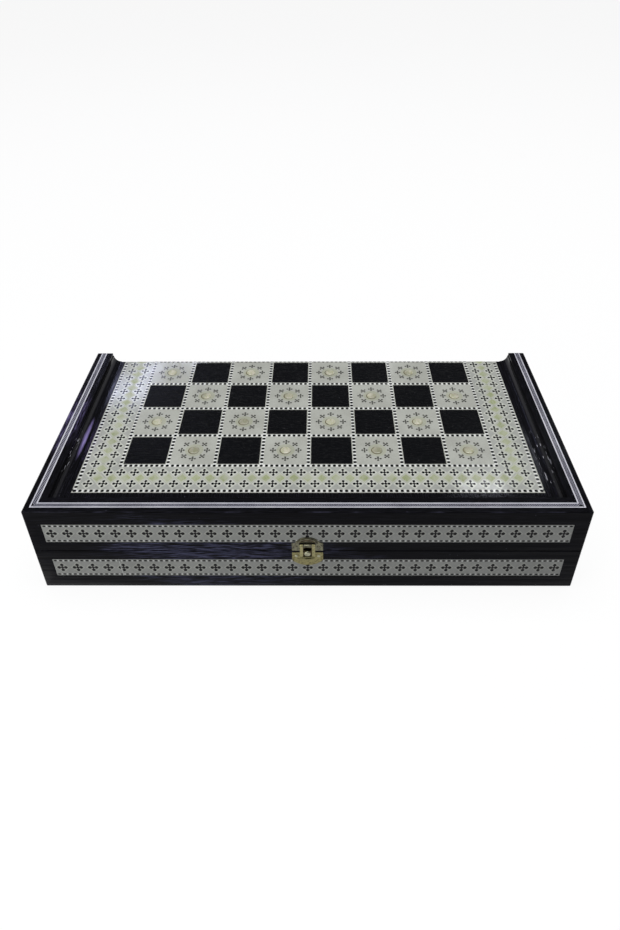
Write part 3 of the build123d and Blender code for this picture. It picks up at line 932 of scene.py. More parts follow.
class Shape:
    """Points and faces gathered as whole arrays, to become one mesh."""

    def __init__(self) -> None:
        """Start with nothing."""
        self.points: list[np.ndarray] = []
        self.faces: list[list[int]] = []
        self.count = 0

    def add(self, points: np.ndarray, faces: Sequence[np.ndarray], turned: bool = False) -> None:
        """Add points and faces.

        Args:
            points: places in space.
            faces: arrays of corners, one face in each row, counted from the first new point.
            turned: whether the faces' corners run the wrong way round.
        """
        for rows in faces:
            rows = rows.reshape(-1, rows.shape[-1]) + self.count
            self.faces.extend((rows[:, ::-1] if turned else rows).tolist())
        self.points.append(points.reshape(-1, 3))
        self.count += points.size // 3

    def slips(
        self, bed: Bed, outline: np.ndarray, centres: np.ndarray, proud: float, depth: float
    ) -> None:
        """Add closed prisms that stand a little proud of a face.

        Every prism is its outline round a centre, once at the height that it stands proud and once
        at its depth, joined by a ring of four-sided faces.

        Args:
            bed: the face that they lie in.
            outline: the shape of each, anticlockwise.
            centres: where they lie.
            proud: how far they stand out.
            depth: how far they reach in.
        """
        corners = len(outline)
        flat = centres[:, None, :] + outline
        points = np.stack((bed.lift(flat, proud), bed.lift(flat, -depth)), axis=1)
        first = np.arange(len(flat))[:, None] * 2 * corners
        here = np.arange(corners)
        after = np.roll(here, -1)
        foot = first + corners
        walls = np.stack((foot + here, foot + after, first + after, first + here), axis=-1)
        self.add(points, (walls, first + here, foot + here[::-1]), bed.left_handed)

    def turned(self, bed: Bed, profile: np.ndarray, centres: np.ndarray, sides: int) -> None:
        """Add pieces turned on a lathe.

        A point is the profile's radius times the cosine and sine of the angle, at the profile's
        height. Radius 0 at either end closes it there.

        Args:
            bed: the face that they stand on.
            profile: radius and height, from the top outwards and down.
            centres: where they stand.
            sides: how many steps go round.
        """
        angle = np.arange(sides) * 2 * math.pi / sides
        ring = np.stack((np.cos(angle), np.sin(angle)), axis=-1)
        flat = centres[:, None, None, :] + profile[None, :, :1, None] * ring
        points = bed.lift(flat, profile[None, :, 1:2])
        rows, here = len(profile), np.arange(sides)
        after = np.roll(here, -1)
        first = (np.arange(len(flat))[:, None] * rows + np.arange(rows - 1)) * sides
        first = first.reshape(-1, 1)
        below = first + sides
        faces = np.stack((first + here, below + here, below + after, first + after), axis=-1)
        self.add(points, (faces,), bed.left_handed)

    def grid(self, points: np.ndarray, ring: bool = False) -> None:
        """Add a surface over a grid of points.

        Args:
            points: rows by columns of places in space.
            ring: whether every row runs round to its first point again.
        """
        rows, columns = points.shape[:2]
        index = np.arange(rows * columns).reshape(rows, columns)
        if ring:
            index = np.concatenate((index, index[:, :1]), axis=1)
        faces = np.stack((index[:-1, :-1], index[:-1, 1:], index[1:, 1:], index[1:, :-1]), axis=-1)
        self.add(points, (faces,))

    def sweep(self, sections: np.ndarray) -> None:
        """Add a solid whose closed section runs through stations, with both ends shut.

        Args:
            sections: stations by points of the section, as places in space.
        """
        first, corners = self.count, sections.shape[1]
        self.grid(sections, ring=True)
        ring = np.arange(corners)[None, :]
        last = first + (len(sections) - 1) * corners
        self.faces.extend((first + ring[:, ::-1]).tolist() + (last + ring).tolist())

    def mesh(
        self, name: str, smooth: float | None = None, outwards: bool = False
    ) -> bpy.types.Mesh:
        """Make the mesh.

        Args:
            name: its name.
            smooth: the angle under which neighbouring faces are shaded as one, if any are.
            outwards: whether the faces of a smooth closed mesh have to be turned outwards.

        Returns:
            The mesh, with points that coincide merged where it is smooth.
        """
        mesh = bpy.data.meshes.new(name)
        mesh.from_pydata(np.concatenate(self.points).tolist(), [], self.faces)
        if smooth is not None:
            merge(mesh, outwards=outwards)
            mesh.shade_smooth()
            mesh.set_sharp_from_angle(angle=smooth)
        return mesh


def merge(mesh: bpy.types.Mesh, flatten: bool = False, outwards: bool = False) -> None:
    """Merge points that coincide.

    Args:
        mesh: the mesh.
        flatten: whether to join neighbouring triangles that lie in one plane, too.
        outwards: whether to turn the faces of a closed mesh outwards, too.
    """
    work = bmesh.new()
    work.from_mesh(mesh)
    bmesh.ops.remove_doubles(work, verts=work.verts, dist=COINCIDE)
    if flatten:
        bmesh.ops.dissolve_limit(
            work, angle_limit=math.radians(0.5), verts=work.verts, edges=work.edges
        )
    if outwards:
        bmesh.ops.recalc_face_normals(work, faces=work.faces)
    work.to_mesh(mesh)
    work.free()


def paint(mesh: bpy.types.Mesh, finish: Finish) -> None:
    """Give a mesh one finish."""
    mesh.materials.clear()
    mesh.materials.append(finish.material())


def put(
    mesh: bpy.types.Mesh, finish: Finish, body: str, slot: str, *replaced: str
) -> bpy.types.Object:
    """Stand a new piece in the scene, under the name of its mesh.

    Args:
        mesh: its mesh, in place.
        finish: its finish.
        body: the body that it moves with.
        slot: the name of a material slot; not used.
        replaced: the model's nodes that it stands for.

    Returns:
        The new object.
    """
    piece = bpy.data.objects.new(mesh.name, mesh)
    bpy.context.scene.collection.objects.link(piece)
    paint(mesh, finish)
    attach(piece, body)
    if replaced:
        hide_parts(*replaced)
    LOG.info("%s: %d faces, on %s", piece.name, len(mesh.polygons), body)
    return piece


def eased(node: str, width: float, finish: Finish, slot: str) -> None:
    """Stand in for a node with a copy whose edges are rounded.

    Args:
        node: the node's name.
        width: how wide the rounding is.
        finish: the piece's finish.
        slot: the name of a material slot, passed on to put.
    """
    source = frame["nodes"][node]
    mesh = source.data.copy()
    mesh.name = f"{node}_eased"
    merge(mesh, flatten=True)
    mesh.shade_smooth()
    mesh.set_sharp_from_angle(angle=CREASE)
    piece = put(mesh, finish, source["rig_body"], slot, node)
    bevel = piece.modifiers.new("eased", "BEVEL")
    bevel.width = width
    bevel.segments = 2
    bevel.limit_method = "ANGLE"
    bevel.angle_limit = CREASE
    bevel.harden_normals = True


def dress(node: str, finish: Finish) -> None:
    """Give a node of the model a finish."""
    paint(frame["nodes"][node].data, finish)
    LOG.info("%s: %s", node, finish.name)


# The board


class Layout:
    """The board's sizes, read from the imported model.

    Attributes:
        columns: squares along a half.
        lozenges: shell lozenges along the front of the border.
        half_length: from the middle to the ends.
        front: where the front faces lie, on Y.
        back: where the back faces lie, on Y.
        height: of the shut board.
        inlay: half the length of the inlaid field.
        inlay_front: where the inlaid field starts, on Y.
        strip: width of the dotted strips.
        lattice: half the length of the squares.
        lattice_front: where the first line of squares has its middle, on Y.
        square: the squares' pitch.
        border_row: half the length of the border's middle line.
        border_front: where that line lies at the front, on Y.
        lozenge_pitch: between two lozenges.
    """

    def __init__(self, columns: int = 8, lozenges: int = 31) -> None:
        """Read the sizes.

        Args:
            columns: squares along a half.
            lozenges: shell lozenges along the front of the border.
        """
        wall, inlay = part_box("lid_right_wall")[1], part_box("lid_border_frieze")
        strings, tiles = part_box("lid_square_stringing"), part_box("lid_dark_squares")
        self.columns, self.lozenges = columns, lozenges
        self.half_length, self.back, self.height = wall.x, wall.y, wall.z
        self.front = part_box("lid_front_wall")[0].y
        self.inlay, self.inlay_front = inlay[1].x, inlay[0].y
        self.strip = strings[1].x - tiles[1].x
        self.lattice = strings[1].x - self.strip / 2
        self.lattice_front = strings[0].y + self.strip / 2
        self.square = 2 * self.lattice / columns
        self.border_row = (inlay[1].x - self.strip + strings[1].x) / 2
        self.border_front = inlay[0].y + inlay[1].x - self.border_row
        self.lozenge_pitch = 2 * self.border_row / (lozenges - 1)

    def outside(self, half: Half) -> Bed:
        """Return the bed of a half's inlaid field."""
        low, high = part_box(f"{half.value}_border_frieze")
        return Bed.level(high.z if half is Half.LID else low.z, half.facing)

    def rim(self, half: Half) -> Bed:
        """Return the bed of a half's rim."""
        return Bed.level(self.height if half is Half.LID else 0.0, half.facing)

    def band(self, half: Half, side: Side) -> tuple[Bed, float, float]:
        """Find a band.

        Args:
            half: the half that it is on.
            side: the side that it is on.

        Returns:
            Its bed, length and height.
        """
        low, high = (np.array(corner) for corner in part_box(f"{half.value}_{side.value}_band"))
        middle, size = (low + high) / 2, high - low
        outward = {Side.FRONT: (0, -1, 0), Side.LEFT: (-1, 0, 0), Side.RIGHT: (1, 0, 0)}[side]
        normal = np.array(outward, float)
        up = np.array((0, 0, 1.0))
        right = np.cross(up, normal)
        origin = middle + np.abs(normal) * size / 2 * normal
        return Bed(origin, right, up, normal), float(np.abs(right) @ size), float(size[2])


@dataclass(frozen=True)
class Palette:
    """The finishes that the sub-assemblies share, from the board's sizes.

    Attributes:
        layout: the board's sizes.
    """

    layout: Layout
    ground = Bone("bone_ground", (0.36, 0.37, 0.34), (0.295, 0.305, 0.28))
    field = Bone("bone_field", (0.405, 0.415, 0.375), (0.335, 0.34, 0.305))
    halo = Bone("bone_halo", (0.5, 0.515, 0.46), (0.43, 0.445, 0.395))
    white = Bone("bone_white", (0.72, 0.73, 0.7), (0.56, 0.58, 0.55))
    aura = Bone("bone_aura", (0.38, 0.39, 0.315), (0.31, 0.32, 0.25))
    # The dark ring round each disc: partly the joint, partly painted shadow.
    groove = Bone("disc_groove", (0.17, 0.155, 0.09), (0.1, 0.095, 0.055))
    line = Bone("holly_lines", (0.58, 0.58, 0.63), (0.42, 0.42, 0.47))
    rope = Bone("holly_rope", (0.36, 0.36, 0.43), (0.22, 0.22, 0.27))
    ebony = Ebony("ebony_slips", (0.0075, 0.0075, 0.008), gloss=0.08, shine=0.45, relief=0.00001)
    faded = Ebony("faded_slips", (0.034, 0.034, 0.029), gloss=0.08, shine=0.45, relief=0.00001)
    band_ebony = Ebony("band_slips", (0.006, 0.006, 0.0065))
    tile = Ebony("ebony_tiles", (0.0026, 0.0028, 0.0033), gloss=0.22, shine=0.06)
    lozenge = Shell(
        "shell_lozenges", (0.27, 0.31, 0.14), (0.34, 0.37, 0.23), (0.39, 0.405, 0.33), fade=0.6
    )
    pale_lozenge = Shell(
        "shell_lozenge_rims", (0.4, 0.42, 0.32), (0.43, 0.44, 0.37), (0.45, 0.46, 0.41)
    )
    disc = Shell(
        "shell_discs", (0.34, 0.34, 0.2), (0.46, 0.43, 0.32), (0.56, 0.56, 0.5), spread=0.5
    )
    plate_brass = Brass("old_brass", (0.21, 0.19, 0.09), (0.085, 0.072, 0.035), share=0.4)
    grey_brass = Brass("greyed_brass", (0.16, 0.155, 0.105), (0.062, 0.056, 0.046))
    hasp_brass = Brass("handled_brass", (0.27, 0.25, 0.13), (0.12, 0.11, 0.05), share=0.25)
    knob_brass = Brass("worn_brass", (0.31, 0.31, 0.22), (0.15, 0.145, 0.09), share=0.3)
    dark_brass = Brass("tarnished_brass", (0.3, 0.26, 0.14), share=0.75)
    # Painted shade: the dark brown of the ridge's shaded face and of the hollow behind the hasp.
    painted_shade = Brass("brown_painted_shade", (0.07, 0.05, 0.028), (0.03, 0.022, 0.012), share=0.6)
    walnut = Veneer("walnut_field", (0.2, 0.095, 0.042), (0.07, 0.03, 0.014))
    maple = Veneer("maple_points", (0.62, 0.47, 0.27), (0.42, 0.28, 0.14))
    wenge = Veneer("wenge_points", (0.035, 0.022, 0.016), (0.012, 0.008, 0.006))

    def lacquer(self, run: Run, polished: bool = False) -> Lacquer:
        """Return the lacquer of wood that runs one way.

        Args:
            run: the way that it runs.
            polished: whether it is the smooth lacquer inside the rim.

        Returns:
            The finish.
        """
        layout = self.layout
        half = (layout.half_length / MM, layout.back / MM, layout.height / 2 / MM)
        middle = (0.0, 0.0, half[2])
        # Patches of painted sheen: bluish and violet reflections painted into the lacquer of the
        # front wall, the left wall, the front cove and the left cove.
        blue, violet, bright_violet = (0.13, 0.135, 0.24), (0.14, 0.115, 0.25), (0.28, 0.23, 0.5)
        name = f"{'polished' if polished else 'brushed'}_{run.name.lower()}"
        painted_sheen_patch, painted_sheen_colour = {
            (Run.ALONG_X, False): (((-78.0, -half[1], 42.0), (132.0, 12.0, 62.0)), blue),
            (Run.ALONG_Y, False): (((4.0 - half[0], 5.0, 100.0), (16.0, 60.0, 30.0)), violet),
            (Run.ALONG_X, True): (((-18.0, -106.0, 91.0), (26.0, 9.0, 12.0)), blue),
            (Run.ALONG_Y, True): (((-226.6, -13.0, 88.0), (2.2, 34.0, 9.0)), bright_violet),
        }[run, polished]
        brushed = Lacquer(name, run, middle, half, painted_sheen_patch, painted_sheen_colour)
        if not polished:
            return brushed
        # Painted highlights: bright dashes painted along the right cove and margin and the left
        # rim's inner edge.
        painted_highlights = (
            ((228.0, -44.0, 90.0), (4.5, 42.0, 20.0), 1.1, 14.0),
            ((236.0, -45.0, 96.0), (5.0, 62.0, 20.0), 1.8, 18.0),
            ((-234.0, -36.0, 94.0), (4.0, 44.0, 20.0), 1.8, 18.0),
        )
        even = 0.6 if run is Run.ALONG_Y else 0.0
        return replace(brushed, even=even, painted_highlights=painted_highlights, shine=0.16, gloss=0.1, relief=0.00012)


@dataclass
class Tray:
    """The lacquered wood of one half: walls, panel and cove mouldings, and the field inside.

    Attributes:
        layout: the board's sizes.
        palette: the finishes.
        half: which half it is.
        easing: width of the rounding on the walls' edges.
        arc_steps: steps along the hollow of a cove.
        lip: the square edge at each end of the hollow.
    """

    layout: Layout
    palette: Palette
    half: Half
    easing: float = 0.18 * MM
    arc_steps: int = 20
    lip: float = 0.6 * MM

    def build(self) -> None:
        """Build the tray."""
        self.walls()
        for side in Side:
            self.cove(side)
        self.inside()

    def walls(self) -> None:
        """Round the edges of the walls, and give the panel its lacquer."""
        half, palette = self.half.value, self.palette
        for run, ends in ((Run.ALONG_X, ("front", "back")), (Run.ALONG_Y, ("left", "right"))):
            for end in ends:
                eased(f"{half}_{end}_wall", self.easing, palette.lacquer(run), "black_lacquer")
        dress(f"{half}_panel", palette.lacquer(Run.ALONG_Y, polished=True))

    def cove(self, side: Side) -> None:
        """Mould one length of cove.

        The section starts at the wall's foot, runs out along the panel to a square lip, and comes
        back to the wall along a hollow: a quarter of a circle whose centre lies over the lip's
        corner. Each point of it is carried straight along the wall between two ends. An end at a
        front corner lies as far along as the point lies in from the wall, which makes the mitre.

        Args:
            side: the side that it runs along.
        """
        half = self.half
        node = f"{half.value}_cove_{side.value}"
        low, high = (np.array(corner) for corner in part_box(node))
        breadth = float(high[2] - low[2])
        angle = np.linspace(0, math.pi / 2, self.arc_steps)
        radius = breadth - self.lip
        inward = np.concatenate(((0, breadth), breadth - radius * np.sin(angle), (0,)))
        rise = np.concatenate(((0, 0), breadth - radius * np.cos(angle), (breadth,)))
        foot = low[2] if half is Half.LID else high[2]
        z = foot + half.facing * rise
        if side is Side.FRONT:
            x = np.stack((low[0] + inward, high[0] - inward))
            y = np.broadcast_to(low[1] + inward, x.shape)
        else:
            outer, sign = (low[0], 1.0) if side is Side.LEFT else (high[0], -1.0)
            y = np.stack((low[1] + inward, np.full_like(inward, high[1])))
            x = np.broadcast_to(outer + sign * inward, y.shape)
        shape = Shape()
        shape.sweep(np.stack((x, y, np.broadcast_to(z, x.shape)), axis=-1))
        run = Run.ALONG_X if side is Side.FRONT else Run.ALONG_Y
        mesh = shape.mesh(f"{node}_moulded", HOLLOW, outwards=True)
        put(mesh, self.palette.lacquer(run, polished=True), half.value, "black_lacquer", node)

    def inside(self) -> None:
        """Give the backgammon field its veneers."""
        palette = self.palette
        for node, finish in (
            ("field_veneer", palette.walnut), ("light_points", palette.maple),
            ("dark_points", palette.wenge), ("medallion", palette.maple),
        ):
            dress(f"{self.half.value}_{node}", finish)


@dataclass
class Marquetry:
    """The inlay on the outside of one half.

    Attributes:
        layout: the board's sizes.
        palette: the finishes.
        half: which half it is.
        depth: how far every slip reaches in.
        layer: how much higher each layer of pale slips stands than the last.
        slip_proud: how far the dark slips stand out.
        dot: the dots of the dotted strips, along and across a strip.
        spacer: the pale pieces between them, along and across a strip.
        dots_per_square: dots along one square.
        border_dots: dot spaces along the front of the outer strip.
        diamond: the border's diamonds, as shares of the pitch and of the space between the rows.
        lozenge: the shell in them, as shares of the same.
        cross: across the border's crosses.
        cross_dot: the dots of the crosses on the field, as a share of their width.
        cross_tall: how many times as tall as wide the crosses are.
        hub: the middle of a cross, as a share of its width.
        neck: the necks of a cross, as a share of its width.
        cross_offset: from the border's middle line to a row of crosses.
        small_cross: across the crosses in the squares.
        small_cross_ring: from a square's middle to its crosses.
        aura: across the tinted wood round a disc, as a share of half the disc's recess.
        groove: across the dark joint round a disc, partly painted shadow, as a share of the same.
        groove_shift: from a disc's middle to that of its dark ring, set off as a painted shadow.
        crown: radius of a disc's crown, as a share of the same.
        crown_foot: radius of the disc at its foot, as a share of the same.
        crown_base: height of the crown's edge.
        crown_rise: how far the crown rises from there.
        band_diamond: the bands' diamonds, as shares of the pitch and of the band's height.
        band_outline: the diamonds within their outlines, as a share.
        band_cross: across the crosses of the bands.
        band_cross_dot: the dots of those crosses, as a share of their width.
        band_dots: dot pitch along the edges of the bands.
        band_dot: the dots of the bands, along and across.
        band_dot_inset: from a band's edge to the middle of its dots.
        band_spacer: the pieces between those dots, as shares of the gap and of a dot.
        front_crosses: crosses along a front band.
        side_crosses: crosses along a side band.
        joint: the joint in the base's front band: its place on X, its width and its slant.
        line: width of each plain line of the stringing.
        stringing_width: width of the whole stringing.
        rope_room: what the lines and the dark edges take of that, in widths of a line.
        rope_pitch: pitch of the rope's strands.
        strand: width of a strand, as a share of its pitch.
        strand_slant: how far it leans, as a share of the rope's width.
    """

    layout: Layout
    palette: Palette
    half: Half
    depth: float = 0.4 * MM
    layer: float = 0.02 * MM
    slip_proud: float = 0.1 * MM
    dot: tuple[float, float] = (3.2 * MM, 3.3 * MM)
    spacer: tuple[float, float] = (1.9 * MM, 3.2 * MM)
    dots_per_square: int = 9
    border_dots: int = 84
    diamond: tuple[float, float] = (0.97, 0.95)
    lozenge: tuple[float, float] = (0.7, 0.66)
    cross: float = 8.8 * MM
    cross_dot: float = 0.31
    cross_tall: float = 1.12
    hub: float = 0.27
    neck: float = 0.1
    cross_offset: float = 7.75 * MM
    small_cross: float = 6.4 * MM
    small_cross_ring: float = 12.7 * MM
    aura: float = 2.9
    groove: float = 1.8
    groove_shift: tuple[float, float] = (-0.5 * MM, -0.4 * MM)
    crown: float = 0.8
    crown_foot: float = 0.82
    crown_base: float = 0.15 * MM
    crown_rise: float = 0.8 * MM
    band_diamond: tuple[float, float] = (0.93, 0.62)
    band_outline: float = 0.84
    band_cross: float = 9.6 * MM
    band_cross_dot: float = 0.345
    band_dots: float = 4.9 * MM
    band_dot: tuple[float, float] = (3.0 * MM, 1.9 * MM)
    band_dot_inset: float = 1.75 * MM
    band_spacer: tuple[float, float] = (0.7, 1.1)
    front_crosses: int = 33
    side_crosses: int = 15
    joint: Triple = (-174.0 * MM, 0.6 * MM, -1.2 * MM)
    line: float = 1.2 * MM
    stringing_width: float = 6.0 * MM
    rope_room: float = 2.6
    rope_pitch: float = 2.1 * MM
    strand: float = 0.4
    strand_slant: float = 1.3

    def build(self) -> None:
        """Lay the inlay."""
        palette = self.palette
        for finish, nodes in (
            (palette.ground, ("border_frieze", "front_band", "left_band", "right_band")),
            (palette.field, ("square_stringing", "light_squares")),
            (palette.tile, ("dark_squares",)),
            (palette.ebony, ("rim_stringing",)),
        ):
            for node in nodes:
                dress(f"{self.half.value}_{node}", finish)
        self.dotted_strips()
        self.border()
        self.squares()
        self.stringing()
        for side in Side:
            self.band(side)
        if self.half is Half.BASE:
            self.band_joint()

    def finish(
        self, name: str, shape: Shape, finish: Finish, slot: str = "pale_inlay", *replaced: str,
        smooth: float | None = None,
    ) -> None:
        """Make one piece of inlay.

        Args:
            name: its name, without that of the half.
            shape: its gathered slips.
            finish: its finish.
            slot: the name of a material slot, passed on to put.
            replaced: the model's nodes that it stands for.
            smooth: the angle under which its faces are shaded as one, if any are.
        """
        half = self.half.value
        put(shape.mesh(f"{half}_{name}", smooth), finish, half, slot, *replaced)

    def dark(self, shape: Shape, bed: Bed, outline: np.ndarray, centres: np.ndarray) -> None:
        """Lay dark slips."""
        shape.slips(bed, outline, centres, self.slip_proud, self.depth)

    def pale(
        self, shape: Shape, bed: Bed, outline: np.ndarray, centres: np.ndarray, layer: int = 1
    ) -> None:
        """Lay pale slips, cut off at the hinge edge.

        Args:
            shape: the shape that gathers them.
            bed: the face that they lie in.
            outline: the shape of each.
            centres: where they lie.
            layer: the layer that they lie in, counted from the wood up.
        """
        room = self.layout.back - centres[:, 1]
        over = room < outline[:, 1].max() - COINCIDE
        shape.slips(bed, outline, centres[~over], self.layer * layer, self.depth)
        for centre, top in zip(centres[over], room[over]):
            shape.slips(bed, cut_level(outline, top), centre[None], self.layer * layer, self.depth)

    def cross_shape(self, width: float, dot: float) -> np.ndarray:
        """Return the outline of a cross, whose dots, hub and necks are shares of its width."""
        outline = cross_outline(width, dot * width, self.hub * width, self.neck * width, arc=9)
        return outline * (1.0, self.cross_tall)

    def dotted_strips(self) -> None:
        """Lay the dots and the white spacers between them, round the border and the squares."""
        layout, bed = self.layout, self.layout.outside(self.half)
        grounds, dots, spacers = Shape(), Shape(), Shape()
        dot, spacer = disc_outline(*self.dot, sides=10), box_outline(*self.spacer)
        turned_dot, turned_spacer = rotate(dot, math.pi / 2), rotate(spacer, math.pi / 2)

        pitch = layout.square / self.dots_per_square
        columns = np.arange(layout.columns * self.dots_per_square + 1) * pitch - layout.lattice
        rows = np.arange(layout.columns // 2 * self.dots_per_square) * pitch + layout.lattice_front
        lines_x, lines_y = columns[::self.dots_per_square], rows[::self.dots_per_square]
        between = rows[np.arange(len(rows)) % self.dots_per_square > 0]
        self.dark(dots, bed, dot, points_between(columns, lines_y))
        self.dark(dots, bed, turned_dot, points_between(lines_x, between))
        half_dot = half_disc_outline(self.dot[1], sides=6)
        self.dark(dots, bed, half_dot, points_between(columns, layout.back))
        self.pale(spacers, bed, spacer, points_between(columns[:-1] + pitch / 2, lines_y), layer=2)
        self.pale(spacers, bed, turned_spacer, points_between(lines_x, rows + pitch / 2), layer=2)

        inset = layout.strip / 2
        end, front = layout.inlay - inset, layout.inlay_front + inset
        pitch = 2 * end / self.border_dots
        along = np.arange(self.border_dots + 1) * pitch - end
        up = front + np.arange(1, self.border_dots // 2) * pitch
        ends, middle = (-end, end), (front + layout.back) / 2
        level = box_outline(2 * layout.inlay, layout.strip)
        upright = box_outline(layout.strip, layout.back - front)
        self.pale(grounds, bed, level, points_between(0.0, front))
        self.pale(grounds, bed, upright, points_between(ends, middle))
        self.dark(dots, bed, dot, points_between(along, front))
        self.dark(dots, bed, turned_dot, points_between(ends, up))
        self.pale(spacers, bed, spacer, points_between(along[:-1] + pitch / 2, front), layer=2)
        self.pale(spacers, bed, turned_spacer, points_between(ends, up - pitch / 2), layer=2)

        self.finish("strip_grounds", grounds, self.palette.field)
        self.finish("strip_dots", dots, self.palette.ebony, "dark_points")
        self.finish("strip_spacers", spacers, self.palette.white)

    def border_crosses(self) -> np.ndarray:
        """Find the places of the border's crosses.

        Two rows run along the front and up each end, the same way out from the middle line. Along
        a row they keep the pitch of the lozenges, and the corner ones lie on both rows.

        Returns:
            Their middles, on the field's bed.
        """
        layout, pitch = self.layout, self.layout.lozenge_pitch
        outer, inner = layout.border_row + self.cross_offset, layout.border_row - self.cross_offset
        x = (np.arange(layout.lozenges + 1) - layout.lozenges / 2) * pitch
        y = layout.border_front + (np.arange(1, layout.lozenges // 2 + 1) - 0.5) * pitch
        x_outer, x_inner = x.copy(), x[1:-1].copy()
        x_outer[[0, -1]], x_inner[[0, -1]] = (-outer, outer), (-inner, inner)
        return np.concatenate((
            points_between(x_outer, layout.border_front - self.cross_offset),
            points_between(x_inner, layout.border_front + self.cross_offset),
            mirrored(points_between(outer, y)),
            mirrored(points_between(inner, y[1:])),
        ))

    def border(self) -> None:
        """Lay the border's crosses on pale diamonds, with shell lozenges between the rows."""
        layout, bed = self.layout, self.layout.outside(self.half)
        pitch, tall = layout.lozenge_pitch, 2 * self.cross_offset
        x = (np.arange(layout.lozenges) - (layout.lozenges - 1) / 2) * pitch
        y = layout.border_front + np.arange(1, layout.lozenges // 2 + 1) * pitch
        lozenges = np.concatenate((points_between(x, layout.border_front),
                                   mirrored(points_between(layout.border_row, y))))
        crosses = self.border_crosses()
        diamond = diamond_outline(self.diamond[0] * pitch, self.diamond[1] * tall)
        lozenge = diamond_outline(self.lozenge[0] * pitch, self.lozenge[1] * tall)
        halos, dark, rims, shell = Shape(), Shape(), Shape(), Shape()
        self.pale(halos, bed, diamond, crosses)
        self.dark(dark, bed, self.cross_shape(self.cross, self.cross_dot), crosses)
        self.pale(rims, bed, diamond, lozenges, layer=2)
        self.pale(shell, bed, lozenge, lozenges, layer=3)
        self.finish("border_diamonds", halos, self.palette.halo)
        self.finish("border_crosses", dark, self.palette.ebony, "dark_points")
        self.finish("lozenge_rims", rims, self.palette.pale_lozenge, "pearl_shell")
        self.finish("border_lozenges", shell, self.palette.lozenge, "pearl_shell")

    def light_square_centres(self) -> np.ndarray:
        """Find the light squares.

        Returns:
            Their middles, on the field's bed.
        """
        layout = self.layout
        columns, rows = np.meshgrid(np.arange(layout.columns), np.arange(layout.columns // 2))
        light = (columns + rows) % 2 == (1 if self.half is Half.LID else 0)
        x = (columns[light] + 0.5) * layout.square - layout.lattice
        y = (rows[light] + 0.5) * layout.square + layout.lattice_front
        return np.stack((x, y), axis=-1)

    def squares(self) -> None:
        """Lay eight crosses round a domed disc of shell in each light square.

        The disc's section is a low crown: its height follows the cosine and its radius the sine of
        one angle. A dark ring, partly joint and partly painted shadow, is wider on one side.
        """
        bed, node = self.layout.outside(self.half), f"{self.half.value}_pearl_discs"
        centres = self.light_square_centres()
        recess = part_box(node)[1].x - centres[:, 0].max()
        outline = self.cross_shape(self.small_cross, self.cross_dot)
        dark, auras, grooves, discs = Shape(), Shape(), Shape(), Shape()
        for turn in np.arange(8) * math.pi / 4:
            offset = self.small_cross_ring * np.array((math.cos(turn), math.sin(turn)))
            self.dark(dark, bed, rotate(outline, turn), centres + offset)
        unit = disc_outline(recess, recess, sides=32)
        self.pale(auras, bed, self.aura * unit, centres)
        # The dark ring is set off towards the front left, where it paints the disc's shadow.
        self.pale(grooves, bed, self.groove * unit, centres + self.groove_shift, layer=2)
        angle = np.linspace(0, math.pi / 2, 7)
        height = self.crown_base + self.crown_rise * np.cos(angle)
        crown = np.stack((self.crown * recess * np.sin(angle), height), axis=-1)
        edge = self.crown_foot * recess
        foot = np.array(((edge, 2 * self.layer), (edge, -self.depth), (0.0, -self.depth)))
        discs.turned(bed, np.concatenate((crown, foot)), centres, sides=32)
        self.finish("square_crosses", dark, self.palette.faded, "dark_points")
        self.finish("disc_auras", auras, self.palette.aura)
        self.finish("disc_grooves", grooves, self.palette.groove)
        self.finish("domed_discs", discs, self.palette.disc, "pearl_shell", node, smooth=ROUND)

    def stringing(self) -> None:
        """Lay two pale lines with a twisted rope between them, round the rim.

        The rope is leaning slips on a dark ground, which lean the same way along each side.
        """
        layout, bed = self.layout, self.layout.rim(self.half)
        inset = layout.half_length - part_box(f"{self.half.value}_rim_stringing")[1].x
        lines, slips = Shape(), Shape()
        for start in (inset, inset + self.stringing_width - self.line):
            self.pale(lines, bed, self.open_frame(start, start + self.line), ALONE, layer=2)
        rope = self.stringing_width - self.rope_room * self.line
        slip = box_outline(self.strand * self.rope_pitch, rope, slant=self.strand_slant * rope)
        middle = inset + self.stringing_width / 2
        end, front = layout.half_length - middle, layout.front + middle
        x = np.arange(-end + rope / 2, end - rope / 2, self.rope_pitch)
        y = np.arange(front + rope / 2, layout.back + rope / 2, self.rope_pitch)
        self.pale(slips, bed, slip, points_between(x, front))
        self.pale(slips, bed, rotate(slip, math.pi / 2), points_between((-end, end), y))
        self.finish("rim_lines", lines, self.palette.line, "stringing")
        self.finish("rim_rope", slips, self.palette.rope, "stringing")

    def open_frame(self, outer: float, inner: float) -> np.ndarray:
        """Draw a U round the front and both ends.

        Args:
            outer: its outer inset from the outer faces.
            inner: its inner inset.

        Returns:
            The outline's points, anticlockwise.
        """
        layout = self.layout
        x = layout.half_length - np.array((outer, inner))
        y = layout.front + np.array((outer, inner))
        return np.array((
            (-x[0], layout.back), (-x[0], y[0]), (x[0], y[0]), (x[0], layout.back),
            (x[1], layout.back), (x[1], y[1]), (-x[1], y[1]), (-x[1], layout.back),
        ))

